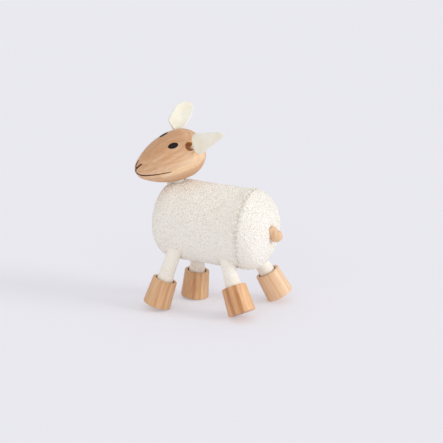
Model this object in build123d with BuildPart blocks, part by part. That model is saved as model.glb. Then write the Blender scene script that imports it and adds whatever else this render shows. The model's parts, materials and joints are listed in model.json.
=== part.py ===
from build123d import *
import math
import os

os.makedirs("parts", exist_ok=True)

# Poseable wooden sheep: a fleece-covered barrel on four bendable legs with cup hooves, and an
# egg-shaped head on a short bendable neck. Millimetres and degrees. +X is forward, +Y is the
# sheep's left, +Z is up, and the origin is on the floor under the middle of the toy.

# Barrel, measured over the fleece
BARREL_RADIUS = 17.0
BARREL_STRAIGHT = 32.4
DOME_DEPTH = 11.2
SHOULDER_RADIUS = 9.0
BODY_X = -0.64
BODY_Y = 1.95
BODY_HEIGHT = 36.6
BODY_PITCH = 1.9

# Fleece jacket: a wrap with its own front dome, and a thicker cap sewn on where the rear dome starts
FLEECE_THICKNESS = 2.2
REAR_CAP_THICKNESS = 2.9
GLUE_LINE = 0.05
SEAM_ROUND = 0.9
FLEECE_EASE = 0.15

# Limb cord: bendable wire inside a knitted sleeve, used for the legs and the neck
SLEEVE_RADIUS = 3.2
WIRE_RADIUS = 0.8
WIRE_EASE = 0.05
SEAT_EASE = 0.1
ANCHOR_DEPTH = 5.0
HIP_WIRE_BEND = 2.0
ANKLE_BEND = 5.0
ANKLE_RISE = 1.5

# Hip seats: in from each end of the barrel's straight side, round from its lowest line, below its surface
FRONT_HIP_SET_IN = 2.6
FRONT_HIP_ANGLE = 48.2
FRONT_HIP_DEPTH = 2.0
REAR_HIP_SET_IN = 6.0
REAR_HIP_ANGLE = 41.3
REAR_HIP_DEPTH = 1.55
HIP_FLARE_ROOT = 2.4
HIP_FLARE_DEPTH = 7.0
HIP_FLARE_ANGLE = 40.0

# Cup hooves
HOOF_HEIGHT = 11.9
HOOF_SOLE_RADIUS = 6.0
HOOF_RIM_RADIUS = 5.3
HOOF_SOCKET_RADIUS = 4.1
HOOF_SOCKET_DEPTH = 5.0
HOOF_ANCHOR_DEPTH = 3.0
HOOF_EDGE = 0.4
HOOF_LIP = 0.25

# How each leg stands: swing forward and splay outward of the leg, then of its hoof
STANCE = {
    "front_left": (18.3, 1.9, 15.9, 9.1),
    "front_right": (-7.4, -14.9, 5.3, -1.2),
    "rear_left": (-10.5, -6.4, -26.2, 14.1),
    "rear_right": (-33.5, 25.0, -26.7, 12.8),
}

# Neck, and the egg-shaped head on it
NECK_AHEAD = 2.9
NECK_LEAN = 4.7
NECK_ROOT_DEPTH = 5.0
NECK_PIVOT_RISE = 3.4
HEAD_RISE = 11.3
HEAD_SOCKET_RADIUS = 4.1
HEAD_FRONT_LENGTH = 20.4
HEAD_WAIST = 1.1
HEAD_RADIUS = 10.6
HEAD_NOSE_RADIUS = 5.0
HEAD_YAW = 46.5
HEAD_PITCH = 16.8
HEAD_ROLL = -17.4

# Felt ears, pinched into drilled holes
EAR_HOLE_BACK = 2.9
EAR_HOLE_ANGLE = 44.0
EAR_HOLE_RADIUS = 2.0
EAR_HOLE_DEPTH = 4.5
EAR_ROOT_RADIUS = 1.3
EAR_LENGTH = 15.9
EAR_BASE_WIDTH = 4.6
EAR_WIDTH = 9.4
EAR_WIDEST = 4.2
EAR_THICKNESS = 1.3
EAR_CUP_RADIUS = 6.5
EAR_TIP_ROUND = 2.0

# How each ear lies: sweep back, lift, and twist about its length
EAR_LAY = {"left": (49.4, 17.0, -11.9), "right": (54.7, 11.4, -86.0)}

# Tail: a turned wooden drop on a stem
TAIL_Y = 2.4
TAIL_Z = 2.2
TAIL_DROP_ANGLE = 31.0
TAIL_LEAN = -20.0
TAIL_LENGTH = 7.2
TAIL_ROOT_RADIUS = 1.3
TAIL_BULB_RADIUS = 2.7
TAIL_SINK = 1.3
TAIL_STEM_RADIUS = 1.2
TAIL_STEM_DEPTH = 6.0

pieces = {}


def tilted(forward_angle, outward_angle, side):
    """Unit vector that points down, leaning forward and outward by two angles."""
    forward = math.tan(math.radians(forward_angle))
    outward = side * math.tan(math.radians(outward_angle))
    return Vector(forward, outward, -1).normalized()


# Barrel frame: forward along its axis, up square to it
BODY = Plane(Location((BODY_X, BODY_Y, BODY_HEIGHT)) * Rot(0, -BODY_PITCH, 0))
FORWARD = BODY.x_dir
LEFT = BODY.y_dir
UP = BODY.z_dir
BARREL_SECTION = Plane(BODY.origin, x_dir=FORWARD, z_dir=-LEFT)
BARREL_AXIS = Axis(BODY.origin, FORWARD)
CORE_INSET = FLEECE_THICKNESS + GLUE_LINE
JACKET_LENGTH = BARREL_STRAIGHT + 2 * DOME_DEPTH
SEAM_X = -BARREL_STRAIGHT / 2


def barrel_outline(inset):
    """Half outline of the barrel, drawn in from its outside by an inset.

    Each end is a shoulder arc tangent to the straight side, then a crown arc tangent to the
    shoulder, whose radius follows from the depth of the dome.
    """
    half = BARREL_STRAIGHT / 2
    rise = BARREL_RADIUS - SHOULDER_RADIUS
    crown = (DOME_DEPTH**2 + rise**2 - SHOULDER_RADIUS**2) / (2 * (DOME_DEPTH - SHOULDER_RADIUS))
    crown_x = half + DOME_DEPTH - crown
    meet = math.degrees(math.atan2(rise, half - crown_x))
    pole = half + DOME_DEPTH - inset
    with BuildLine() as outline:
        CenterArc((crown_x, 0), crown - inset, 0, meet)
        CenterArc((half, rise), SHOULDER_RADIUS - inset, meet, 90 - meet)
        Line((half, BARREL_RADIUS - inset), (-half, BARREL_RADIUS - inset))
        CenterArc((-half, rise), SHOULDER_RADIUS - inset, 90, 90 - meet)
        CenterArc((-crown_x, 0), crown - inset, 180 - meet, meet)
        Line((-pole, 0), (pole, 0))
    return outline.edges()


class Leg:
    """Places of one leg's hip, ankle bend, hoof sole and hoof seat, with the hoof on the floor."""

    def __init__(self, name):
        swing, splay, hoof_swing, hoof_splay = STANCE[name]
        side = 1 if name.endswith("left") else -1
        if name.startswith("front"):
            along = BARREL_STRAIGHT / 2 - FRONT_HIP_SET_IN
            round_angle = math.radians(FRONT_HIP_ANGLE)
            radius = BARREL_RADIUS - FRONT_HIP_DEPTH
        else:
            along = REAR_HIP_SET_IN - BARREL_STRAIGHT / 2
            round_angle = math.radians(REAR_HIP_ANGLE)
            radius = BARREL_RADIUS - REAR_HIP_DEPTH
        outward = side * radius * math.sin(round_angle)
        self.hip = BODY.from_local_coords(Vector(along, outward, -radius * math.cos(round_angle)))
        self.down = tilted(swing, splay, side)
        self.hoof_down = tilted(hoof_swing, hoof_splay, side)
        tilt = math.acos(-self.hoof_down.Z)
        rim = HOOF_SOLE_RADIUS - HOOF_EDGE
        sole_height = rim * math.sin(tilt) + HOOF_EDGE * (1 - math.cos(tilt))
        hoof_reach = HOOF_HEIGHT + ANKLE_RISE
        ankle_height = sole_height - hoof_reach * self.hoof_down.Z
        length = (ankle_height - self.hip.Z) / self.down.Z
        self.ankle = self.hip + self.down * length
        self.sole = self.ankle + self.hoof_down * hoof_reach
        self.seat = self.ankle + self.hoof_down * (ANKLE_RISE + HOOF_SOCKET_DEPTH)
        self.wire_root = self.hip + UP * ANCHOR_DEPTH
        self.wire_tip = self.seat + self.hoof_down * HOOF_ANCHOR_DEPTH


LEGS = {name: Leg(name) for name in STANCE}

# Neck axis, and the head's own frame: nose along its X, left ear along its Y
NECK_FOOT = BODY.from_local_coords(Vector(BARREL_STRAIGHT / 2 + NECK_AHEAD, 0, BARREL_RADIUS))
NECK_AXIS = UP.rotate(Axis((0, 0, 0), LEFT), -NECK_LEAN)
HEAD_CENTRE = NECK_FOOT + NECK_AXIS * HEAD_RISE
NECK_PIVOT = NECK_FOOT + NECK_AXIS * NECK_PIVOT_RISE
HEAD_TURN = Rot(0, 0, HEAD_YAW) * Rot(0, HEAD_PITCH, 0) * Rot(HEAD_ROLL, 0, 0)
HEAD = Plane(Location(HEAD_CENTRE) * HEAD_TURN)
NECK_ROOT = NECK_FOOT - NECK_AXIS * (CORE_INSET + NECK_ROOT_DEPTH)
NECK_UP = Plane(NECK_ROOT, z_dir=NECK_AXIS)
NECK_LENGTH = (NECK_PIVOT - NECK_ROOT).length


def leg_clearance(leg, radius):
    """Room for a leg's rounded root and the stretch that leaves the barrel."""
    with BuildPart() as room:
        with Locations(leg.hip):
            Sphere(radius)
        with Locations(Plane(leg.hip, z_dir=leg.down)):
            Cylinder(radius, BARREL_RADIUS, align=(Align.CENTER, Align.CENTER, Align.MIN))
    return room.part


def neck_clearance(radius):
    """Room for the neck where it passes out of the barrel."""
    with BuildPart(NECK_UP) as room:
        Cylinder(radius, BARREL_RADIUS, align=(Align.CENTER, Align.CENTER, Align.MIN))
    return room.part


# Tail, drooping from a stem that runs along the barrel's axis
REAR_POLE = -BARREL_STRAIGHT / 2 - DOME_DEPTH + FLEECE_THICKNESS - REAR_CAP_THICKNESS
TAIL_FOOT = BODY.from_local_coords(Vector(REAR_POLE, TAIL_Y, TAIL_Z))
TAIL_LEAN_AXIS = Axis((0, 0, 0), FORWARD)
TAIL_DOWN = (-UP).rotate(Axis((0, 0, 0), LEFT), TAIL_DROP_ANGLE).rotate(TAIL_LEAN_AXIS, TAIL_LEAN)
TAIL_TOP = TAIL_FOOT + FORWARD * TAIL_SINK - TAIL_DOWN * TAIL_BULB_RADIUS / 2
TAIL_SECTION = Plane(TAIL_TOP, x_dir=TAIL_DOWN, z_dir=LEFT.rotate(TAIL_LEAN_AXIS, TAIL_LEAN))
with BuildPart() as tail:
    with BuildSketch(TAIL_SECTION):
        with BuildLine():
            bulb = TAIL_LENGTH - TAIL_BULB_RADIUS
            Line((TAIL_LENGTH, 0), (0, 0))
            Line((0, 0), (0, TAIL_ROOT_RADIUS))
            Line((0, TAIL_ROOT_RADIUS), (bulb, TAIL_BULB_RADIUS))
            CenterArc((bulb, 0), TAIL_BULB_RADIUS, 0, 90)
        make_face()
    revolve(axis=Axis(TAIL_TOP, TAIL_DOWN))
    stem_end = TAIL_FOOT + FORWARD * (REAR_CAP_THICKNESS + TAIL_STEM_DEPTH)
    stem_length = REAR_CAP_THICKNESS + TAIL_STEM_DEPTH - TAIL_SINK
    with Locations(Plane(stem_end, z_dir=-FORWARD)):
        Cylinder(TAIL_STEM_RADIUS, stem_length, align=(Align.CENTER, Align.CENTER, Align.MIN))
pieces["tail"] = tail.part

# Turned barrel under the fleece, with hip seats, wire anchors, neck hole and tail hole
with BuildPart() as barrel_core:
    with BuildSketch(BARREL_SECTION):
        make_face(barrel_outline(CORE_INSET))
    revolve(axis=BARREL_AXIS)
    seat_radius = SLEEVE_RADIUS + SEAT_EASE
    flare = HIP_FLARE_DEPTH * math.tan(math.radians(HIP_FLARE_ANGLE))
    for leg in LEGS.values():
        with Locations(Plane(leg.hip, z_dir=-UP)):
            Cone(HIP_FLARE_ROOT, HIP_FLARE_ROOT + flare, HIP_FLARE_DEPTH,
                 align=(Align.CENTER, Align.CENTER, Align.MIN), mode=Mode.SUBTRACT)
        with Locations(Plane(leg.hip, z_dir=UP)):
            Cylinder(WIRE_RADIUS + WIRE_EASE, ANCHOR_DEPTH + WIRE_EASE,
                     align=(Align.CENTER, Align.CENTER, Align.MIN), mode=Mode.SUBTRACT)
        add(leg_clearance(leg, seat_radius), mode=Mode.SUBTRACT)
    add(neck_clearance(seat_radius), mode=Mode.SUBTRACT)
    with Locations(Plane(NECK_ROOT, z_dir=-NECK_AXIS)):
        Cylinder(WIRE_RADIUS + WIRE_EASE, ANCHOR_DEPTH + WIRE_EASE,
                 align=(Align.CENTER, Align.CENTER, Align.MIN), mode=Mode.SUBTRACT)
    add(tail.part, mode=Mode.SUBTRACT)
pieces["barrel_core"] = barrel_core.part


def fleece(thickness, cut_away):
    """One part of the fleece jacket, cut at the seam, with its outer seam edge rolled."""
    with BuildPart() as jacket:
        with BuildSketch(BARREL_SECTION) as wall:
            make_face(barrel_outline(FLEECE_THICKNESS - thickness))
            make_face(barrel_outline(FLEECE_THICKNESS), mode=Mode.SUBTRACT)
            with Locations((SEAM_X, 0)):
                Rectangle(JACKET_LENGTH, JACKET_LENGTH, align=(cut_away, Align.CENTER), mode=Mode.SUBTRACT)
            seam_corner = wall.vertices().sort_by_distance((SEAM_X, BARREL_RADIUS))[0]
            fillet(seam_corner, radius=SEAM_ROUND)
        revolve(axis=BARREL_AXIS)
        for leg in LEGS.values():
            add(leg_clearance(leg, SLEEVE_RADIUS + FLEECE_EASE), mode=Mode.SUBTRACT)
        add(neck_clearance(SLEEVE_RADIUS + FLEECE_EASE), mode=Mode.SUBTRACT)
        add(tail.part, mode=Mode.SUBTRACT)
    return jacket.part


pieces["fleece_wrap"] = fleece(FLEECE_THICKNESS, Align.MAX)
pieces["fleece_rear_cap"] = fleece(REAR_CAP_THICKNESS, Align.MIN)


def wire_along(route, start_direction, radius):
    """Round wire swept along a route of straight runs and bends."""
    with BuildPart() as wire:
        with BuildSketch(Plane(route @ 0, z_dir=start_direction)):
            Circle(radius)
        sweep(path=route)
    return wire.part


for name, leg in LEGS.items():
    # Wire: down from its anchor in the barrel, bent at the hip and again above the hoof
    with BuildLine() as wire_route:
        FilletPolyline(leg.wire_root, leg.hip, leg.ankle, leg.wire_tip,
                       radius=[HIP_WIRE_BEND, ANKLE_BEND])
    pieces[f"{name}_leg_wire"] = wire_along(wire_route.wire(), -UP, WIRE_RADIUS)

    # Knitted sleeve: rounded root in the hip seat, then down into the hoof's socket
    with BuildLine() as sleeve_route:
        FilletPolyline(leg.hip, leg.ankle, leg.seat, radius=ANKLE_BEND)
    with BuildPart() as sleeve:
        with BuildSketch(Plane(leg.hip, z_dir=leg.down)):
            Circle(SLEEVE_RADIUS)
        sweep(path=sleeve_route.wire())
        with Locations(leg.hip):
            Sphere(SLEEVE_RADIUS)
        add(wire_along(wire_route.wire(), -UP, WIRE_RADIUS + WIRE_EASE), mode=Mode.SUBTRACT)
    pieces[f"{name}_leg_sleeve"] = sleeve.part

    # Cup hoof: a tapered turning with a wide socket and a narrow anchor hole for the wire
    with BuildPart(Plane(leg.sole, z_dir=-leg.hoof_down)) as hoof:
        Cone(HOOF_SOLE_RADIUS, HOOF_RIM_RADIUS, HOOF_HEIGHT,
             align=(Align.CENTER, Align.CENTER, Align.MIN))
        fillet(hoof.edges().filter_by(GeomType.CIRCLE), radius=HOOF_EDGE)
        with Locations((0, 0, HOOF_HEIGHT)):
            CounterBoreHole(WIRE_RADIUS + WIRE_EASE, HOOF_SOCKET_RADIUS, HOOF_SOCKET_DEPTH,
                            depth=HOOF_SOCKET_DEPTH + HOOF_ANCHOR_DEPTH + WIRE_EASE)
        mouth = hoof.faces().sort_by(Axis(leg.sole, -leg.hoof_down))[-1]
        fillet(mouth.edges().sort_by(SortBy.LENGTH)[0], radius=HOOF_LIP)
    pieces[f"{name}_hoof"] = hoof.part

# Neck: the same cord, straight, with a rounded top inside the head
with BuildPart(NECK_UP) as neck_sleeve:
    Cylinder(SLEEVE_RADIUS, NECK_LENGTH, align=(Align.CENTER, Align.CENTER, Align.MIN))
    with Locations((0, 0, NECK_LENGTH)):
        Sphere(SLEEVE_RADIUS)
        Hole(WIRE_RADIUS + WIRE_EASE)
pieces["neck_sleeve"] = neck_sleeve.part

NECK_WIRE_LENGTH = ANCHOR_DEPTH + NECK_LENGTH + SLEEVE_RADIUS + HOOF_ANCHOR_DEPTH
with BuildPart(Plane(NECK_ROOT - NECK_AXIS * ANCHOR_DEPTH, z_dir=NECK_AXIS)) as neck_wire:
    Cylinder(WIRE_RADIUS, NECK_WIRE_LENGTH, align=(Align.CENTER, Align.CENTER, Align.MIN))
pieces["neck_wire"] = neck_wire.part


def ear_hole(side):
    """Centre of an ear hole on the egg, and the outward direction of its drilling, in head axes."""
    round_angle = math.radians(EAR_HOLE_ANGLE)
    radius = math.sqrt(HEAD_RADIUS**2 - (EAR_HOLE_BACK - HEAD_WAIST) ** 2)
    centre = Vector(-EAR_HOLE_BACK, side * radius * math.sin(round_angle), radius * math.cos(round_angle))
    outward = centre + Vector(HEAD_WAIST, 0, 0)
    return centre, outward.normalized()


def head_direction(vector):
    """Turn a direction from the head's axes to the toy's axes."""
    return HEAD.from_local_coords(vector) - HEAD.origin


# Head: an egg with a round nose, long flanks tangent to it, a short waist and a half-ball back
NOSE_X = HEAD_FRONT_LENGTH - HEAD_NOSE_RADIUS
FLANK_SPAN = HEAD_FRONT_LENGTH**2 + HEAD_RADIUS**2 - 2 * HEAD_FRONT_LENGTH * HEAD_NOSE_RADIUS
FLANK_RADIUS = FLANK_SPAN / (2 * (HEAD_RADIUS - HEAD_NOSE_RADIUS))
FLANK_Y = HEAD_RADIUS - FLANK_RADIUS
with BuildPart() as head:
    with BuildSketch(HEAD):
        with BuildLine():
            meet = math.degrees(math.atan2(-FLANK_Y, NOSE_X))
            CenterArc((NOSE_X, 0), HEAD_NOSE_RADIUS, 0, meet)
            CenterArc((0, FLANK_Y), FLANK_RADIUS, meet, 90 - meet)
            Line((0, HEAD_RADIUS), (-HEAD_WAIST, HEAD_RADIUS))
            CenterArc((-HEAD_WAIST, 0), HEAD_RADIUS, 90, 90)
            Line((-HEAD_WAIST - HEAD_RADIUS, 0), (HEAD_FRONT_LENGTH, 0))
        make_face()
    revolve(axis=Axis(HEAD.origin, HEAD.x_dir))
    socket_top = NECK_PIVOT + NECK_AXIS * (SLEEVE_RADIUS + SEAT_EASE)
    with Locations(Plane(socket_top, z_dir=-NECK_AXIS)):
        Cylinder(HEAD_SOCKET_RADIUS, HEAD_RISE,
                 align=(Align.CENTER, Align.CENTER, Align.MIN), mode=Mode.SUBTRACT)
    with Locations(Plane(socket_top, z_dir=NECK_AXIS)):
        Cylinder(WIRE_RADIUS + WIRE_EASE, HOOF_ANCHOR_DEPTH,
                 align=(Align.CENTER, Align.CENTER, Align.MIN), mode=Mode.SUBTRACT)
    for side in (1, -1):
        centre, outward = ear_hole(side)
        mouth = HEAD.from_local_coords(centre)
        with Locations(Plane(mouth, z_dir=head_direction(outward))):
            Hole(EAR_HOLE_RADIUS, depth=EAR_HOLE_DEPTH)
pieces["head"] = head.part


def felt_ear(name):
    """Felt leaf, cupped about its length, with a pinched root that plugs the ear hole."""
    side = 1 if name == "left" else -1
    centre, outward = ear_hole(side)
    sweep_angle, lift_angle, twist = EAR_LAY[name]
    sweep_back = math.radians(sweep_angle)
    lift = math.radians(lift_angle)
    length_local = Vector(-math.sin(sweep_back) * math.cos(lift),
                          side * math.cos(sweep_back) * math.cos(lift),
                          math.sin(lift))
    root = HEAD.from_local_coords(centre)
    length_dir = head_direction(length_local)
    outward_dir = head_direction(outward)
    nose_side = HEAD.x_dir - length_dir * HEAD.x_dir.dot(length_dir)
    face_dir = nose_side.rotate(Axis((0, 0, 0), length_dir), side * twist)
    blade = Plane(root, x_dir=length_dir, z_dir=face_dir)
    cross = Plane(root, x_dir=blade.y_dir, z_dir=length_dir)
    base_half = EAR_BASE_WIDTH / 2
    with BuildPart() as ear:
        with BuildSketch(cross):
            with Locations((0, EAR_CUP_RADIUS)):
                Circle(EAR_CUP_RADIUS + EAR_THICKNESS / 2)
                Circle(EAR_CUP_RADIUS - EAR_THICKNESS / 2, mode=Mode.SUBTRACT)
        extrude(amount=EAR_LENGTH)
        with BuildSketch(blade.offset(-EAR_THICKNESS)) as leaf:
            with BuildLine():
                ThreePointArc((0, base_half), (EAR_WIDEST, EAR_WIDTH / 2), (EAR_LENGTH, 0))
                ThreePointArc((EAR_LENGTH, 0), (EAR_WIDEST, -EAR_WIDTH / 2), (0, -base_half))
                Line((0, -base_half), (0, base_half))
            make_face()
            tip = leaf.vertices().sort_by(Axis.X)[-1]
            fillet(tip, radius=EAR_TIP_ROUND)
        extrude(amount=EAR_CUP_RADIUS, mode=Mode.INTERSECT)
        with Locations(Plane(root, z_dir=-outward_dir)):
            Cylinder(EAR_ROOT_RADIUS, EAR_HOLE_DEPTH - SEAT_EASE,
                     align=(Align.CENTER, Align.CENTER, Align.MIN))
        with Locations(root):
            Sphere(EAR_ROOT_RADIUS)
        add(head.part, mode=Mode.SUBTRACT)
    return ear.part


for name in EAR_LAY:
    pieces[f"{name}_ear"] = felt_ear(name)

for name, piece in pieces.items():
    piece.label = name
    export_step(piece, f"parts/{name}.step")
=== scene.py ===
"""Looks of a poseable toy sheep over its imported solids.

A looped fleece jacket with a sewn rear cap, knit sleeves, felt ears, and a turned beech head,
hooves and tail with a painted face. Shapes are worked out in millimetres and stored in metres.
"""

import json
import math

import bpy
import numpy as np
from bpy.props import FloatProperty, FloatVectorProperty, IntProperty, PointerProperty
from mathutils import Matrix, Vector


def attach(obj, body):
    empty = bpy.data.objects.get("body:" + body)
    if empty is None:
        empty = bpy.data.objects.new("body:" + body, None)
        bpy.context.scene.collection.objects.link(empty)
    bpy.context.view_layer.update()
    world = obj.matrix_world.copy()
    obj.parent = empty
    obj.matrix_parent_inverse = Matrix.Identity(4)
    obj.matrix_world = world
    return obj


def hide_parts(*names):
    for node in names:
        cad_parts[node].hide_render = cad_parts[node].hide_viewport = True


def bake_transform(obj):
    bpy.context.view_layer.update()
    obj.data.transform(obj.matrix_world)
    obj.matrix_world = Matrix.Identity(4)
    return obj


bl_info = {
    "name": "Poseable wooden sheep",
    "version": (1, 0, 0),
    "blender": (4, 5, 0),
    "location": "View3D > Sidebar > Sheep",
    "description": "Fleece, sleeves, felt ears, turned wood and a painted face for a packed sheep",
    "category": "Object",
}

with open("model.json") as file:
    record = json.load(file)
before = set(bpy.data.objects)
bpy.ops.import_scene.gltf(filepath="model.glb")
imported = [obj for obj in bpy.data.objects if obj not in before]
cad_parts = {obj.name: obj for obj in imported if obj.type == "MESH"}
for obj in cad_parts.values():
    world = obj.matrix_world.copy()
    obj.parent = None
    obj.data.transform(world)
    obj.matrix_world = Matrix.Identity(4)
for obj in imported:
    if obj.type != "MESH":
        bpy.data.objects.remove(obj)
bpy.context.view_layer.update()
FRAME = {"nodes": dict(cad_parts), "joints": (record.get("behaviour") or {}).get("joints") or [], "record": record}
MM = 0.001
JOINTS = {joint["name"]: joint for joint in FRAME["joints"]}
SOLES = {mount["name"]: mount for mount in FRAME["record"]["mounts"]}
LEGS = ("front_left", "front_right", "rear_left", "rear_right")

# Barrel over the fleece, as the solids have it: centre, pitch, and the arcs of its outline
BARREL_CENTRE = np.array((-0.64, 1.95, 36.6))
BARREL_PITCH = math.radians(1.9)
BARREL_RADIUS = 17.0
BARREL_HALF = 16.2
DOME_DEPTH = 11.2
SHOULDER_RADIUS = 9.0
ARC_STEPS = 40
FORWARD = np.array((math.cos(BARREL_PITCH), 0.0, math.sin(BARREL_PITCH)))
LEFT = np.array((0.0, 1.0, 0.0))
UP = np.array((-math.sin(BARREL_PITCH), 0.0, math.cos(BARREL_PITCH)))

# Fleece: its thickness, how far the cap's skin stands off the outline, the reach of a nub in
# spacings, the spacing and the height of the finer nubs as shares, and the pile that lies level
# with the outline
FLEECE_THICKNESS = 2.2
CAP_GROW = -0.1
NUB_REACH = 0.85
FINE_NUBS, FINE_SHARE = 0.45, 0.3
FLEECE_LEVEL = 0.75
# Stuffing: turn of its fullest line from the top, how far along the outline it swells beside the
# seam, and the place and width of its fall on the cap's shoulder
FULL_TURN = 0.3
SEAM_SWELL_REACH = 3.2
CAP_FALL_PLACE = 15.5
CAP_FALL_WIDTH = 4.5
# Seam: turn of its deepest place from the top, share of its depth that is even, and the share by
# which the pile's colour falls to the crease tone there, painted shade in the drawn-in edge
SEAM_DEEP_TURN, SEAM_EVEN, SEAM_SHADE_SHARE = 0.6, 0.6, 0.4
# Stitches: points, unevenness and slant in steps, sink under the outline and height of the arch
STITCH_STEPS, STITCH_UNEVEN, STITCH_SLANT = 7, 0.12, 0.35
STITCH_SINK, STITCH_ARCH = 0.7, 0.6
# Rows of the inner skin, and the last one's length from the pole
LINING_ROWS, LINING_END = 24, 0.4
# Yarn loops: rings, sides, sink under the skin, distance of rows and random shift in spacings, what
# a row and a loop keep from the seam, and a loop from limbs
LOOP_RINGS, LOOP_SIDES, LOOP_SINK = 6, 4, 0.05
LOOP_ROWS, LOOP_SHIFT = 0.87, 0.45
LOOP_SEAM_CLEAR, LOOP_LIMB_CLEAR = (0.3, 0.2), 0.5
# Ranges of a loop's tip from the skin, its turn and its size, and the yarn's share at its ends
LOOP_TIP, LOOP_TURN, LOOP_SIZE, LOOP_END = (0.05, 0.6), (3.6, 5.6), (0.7, 1.2), 0.45
# A limb counts from this far before its root, and within this distance of the tail the fleece looks
# for the tail's own corners
LIMB_START = -1.0
TAIL_NEAR = 8.0
# Slow swells of fleece, sleeves and felt: height and size
FLEECE_SWELL = (0.22, 6.5)
SLEEVE_SWELL = (0.12, 3.5)
FELT_SWELL = (0.16, 2.6)
# Tufts of the felt: height, the distance from a tuft's middle that lies level, and spacing
FELT_TUFTS = (0.1, 0.6, 0.55)

# Leg sleeves: radius, how far they go into the socket and the hip, the reach of the ankle's round,
# and the points on the three stretches of their line
SLEEVE_RADIUS = 3.2
SLEEVE_SEAT = 6.3
SLEEVE_ROOT = 1.5
ANKLE_ROUND = 3.2
SHIN_STEPS, ANKLE_STEPS, SEAT_STEPS = 60, 24, 14
SLEEVE_SIDES = 84
NAP_LEVEL = 0.6
# A sleeve's skin lies this far inside its solid: on the legs, and on the neck
LEG_INSET = 0.08
NECK_INSET = 0.12
# The sleeve widens into the hoof's socket: its radius there, the rim's distance below the ankle and
# the stretch over which it widens
SOCKET_FILL = 3.5
RIM_BELOW_ANKLE = 1.5
SOCKET_EASE = 3.2
# Share of the leg at which the halves of a sleeve meet, clear of the fleece at every swing
HALVES_MEET = 0.74
# Neck: its hole in the fleece, how far the sleeve goes below and above the pivot, and its points
NECK_REACH = 7.0
NECK_HOLE_RADIUS = 2.2
NECK_BELOW = 9.0
NECK_ABOVE = 2.6
NECK_STEPS = 90
# The neck sleeve widens downwards: where it starts and ends below the pivot, and by how much
NECK_SPREAD = (1.8, 6.0, 0.6)
# Wire: radius, depth of its ends in the barrel and below the sleeve, its bend at the hip, and the
# points on its anchor, on its bend, on its tip and on the neck's wire
WIRE_RADIUS = 0.8
WIRE_ANCHOR = 5.0
WIRE_TIP = 3.2
WIRE_BEND = 1.2
WIRE_SIDES = 12
ANCHOR_STEPS, BEND_STEPS, TIP_STEPS, NECK_WIRE_STEPS = 6, 9, 5, 40

# Egg-shaped head: centre above the neck's pivot, length to the nose, radii of the egg and nose, and
# length of the straight waist behind the centre
HEAD_ABOVE_PIVOT = 7.9
HEAD_FRONT = 20.4
HEAD_RADIUS = 10.6
NOSE_RADIUS = 5.0
HEAD_WAIST = 1.1
NOSE_X = HEAD_FRONT - NOSE_RADIUS
FLANK_RADIUS = ((HEAD_FRONT**2 + HEAD_RADIUS**2 - 2 * HEAD_FRONT * NOSE_RADIUS)
                / (2 * (HEAD_RADIUS - NOSE_RADIUS)))
FLANK_Y = HEAD_RADIUS - FLANK_RADIUS
NOSE_SPAN = math.atan2(-FLANK_Y, NOSE_X)
NOSE_MEET = NOSE_X + NOSE_RADIUS * math.cos(NOSE_SPAN)

# Darker layers on the head, stacked from its underside to its top and a little towards the nose,
# partly streaks of the wood and partly painted shade, darkest on top where less light falls: place
# above the centre and darkness
HEAD_LAYER_TILT = 0.24
HEAD_STREAKS_AND_SHADE = (
    (-6.0, 0.2), (-1.8, 0.14), (-0.7, 0.06), (0.2, 0.0), (1.8, 0.0), (2.8, 0.1), (4.2, 0.26),
    (5.4, 0.34), (6.3, 0.54), (6.7, 0.36), (8.2, 0.57), (8.6, 0.4), (9.8, 0.58),
)
# Painted shade on the head's underside, stacked upwards: place above the centre and darkness
HEAD_UNDERSIDE_SHADE = ((-9.0, 0.36), (-2.2, 0.38), (-1.2, 0.16), (-0.2, 0.0))

# Wood of each hoof: light, middle and dark tone, the pith's place beside it and its lean
HOOF_BLANKS = {
    "front_left": ("#F0C99D", "#E0B081", "#B06F3D", (7.0, 4.0), (0.02, 0.04)),
    "front_right": ("#F0CA9E", "#E3B585", "#B27341", (3.0, 6.0), (0.08, -0.05)),
    "rear_left": ("#F9CC9C", "#ECB37E", "#A05A24", (5.0, -5.0), (0.05, 0.02)),
    "rear_right": ("#F9D7B3", "#F0C69E", "#C88F58", (8.0, -3.0), (-0.03, 0.04)),
}
# Darker layers of each hoof, stacked across it, partly streaks of its wood and partly painted shade
# on the side away from the light: direction, then place from the middle and darkness
HOOF_ACROSS = np.array((-0.9135, -0.4067, 0.0))
HOOF_STREAKS_AND_SHADE = {
    "front_left": (
        (-6.4, 0.5), (-5.2, 0.15), (-2.2, 0.1), (-1.0, 0.42), (-0.2, 0.15), (1.4, 0.2), (2.4, 0.48),
        (3.2, 0.1), (5.2, 0.15), (6.4, 0.4),
    ),
    "front_right": (
        (-6.2, 0.5), (-4.8, 0.25), (-1.8, 0.25), (-1.0, 0.62), (-0.5, 0.6), (0.2, 0.2), (1.2, 0.2),
        (1.9, 0.48), (2.6, 0.05), (4.8, 0.05), (6.2, 0.25),
    ),
    "rear_left": (
        (-6.4, 0.35), (-4.6, 0.2), (-3.9, 0.6), (-3.2, 0.65), (-2.6, 0.25), (-1.2, 0.3),
        (-0.2, 0.66), (0.6, 0.6), (1.2, 0.1), (3.2, 0.0), (6.4, 0.1),
    ),
    "rear_right": (
        (-6.4, 0.4), (-4.5, 0.2), (-1.5, 0.1), (0.8, 0.25), (1.8, 0.1), (4.0, 0.0), (6.4, 0.0),
    ),
}
# Painted shade inside the drilled holes, a darker and stronger colour: depth of the colour's middle,
# its reach round it, and the colour
EAR_HOLE_SHADE = (2.2, 2.75, "#EBB45C")
HOOF_SOCKET_SHADE = (3.5, 4.6, "#B8743F")
# A direction that no piece's grain follows, and how far the layers of the wood wave
SKEW = (0.31, 0.77, 0.55)
LAYER_WAVE = 1.6

# Felt ears: hole on the egg, and each ear's sweep back, lift and twist
EAR_HOLE_BACK = 2.9
EAR_HOLE_ANGLE = math.radians(44.0)
EAR_LAY = {"left": (49.4, 17.0, -11.9), "right": (54.7, 11.4, -86.0)}
EAR_REACH = {"left": 1.0, "right": 0.94}
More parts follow.
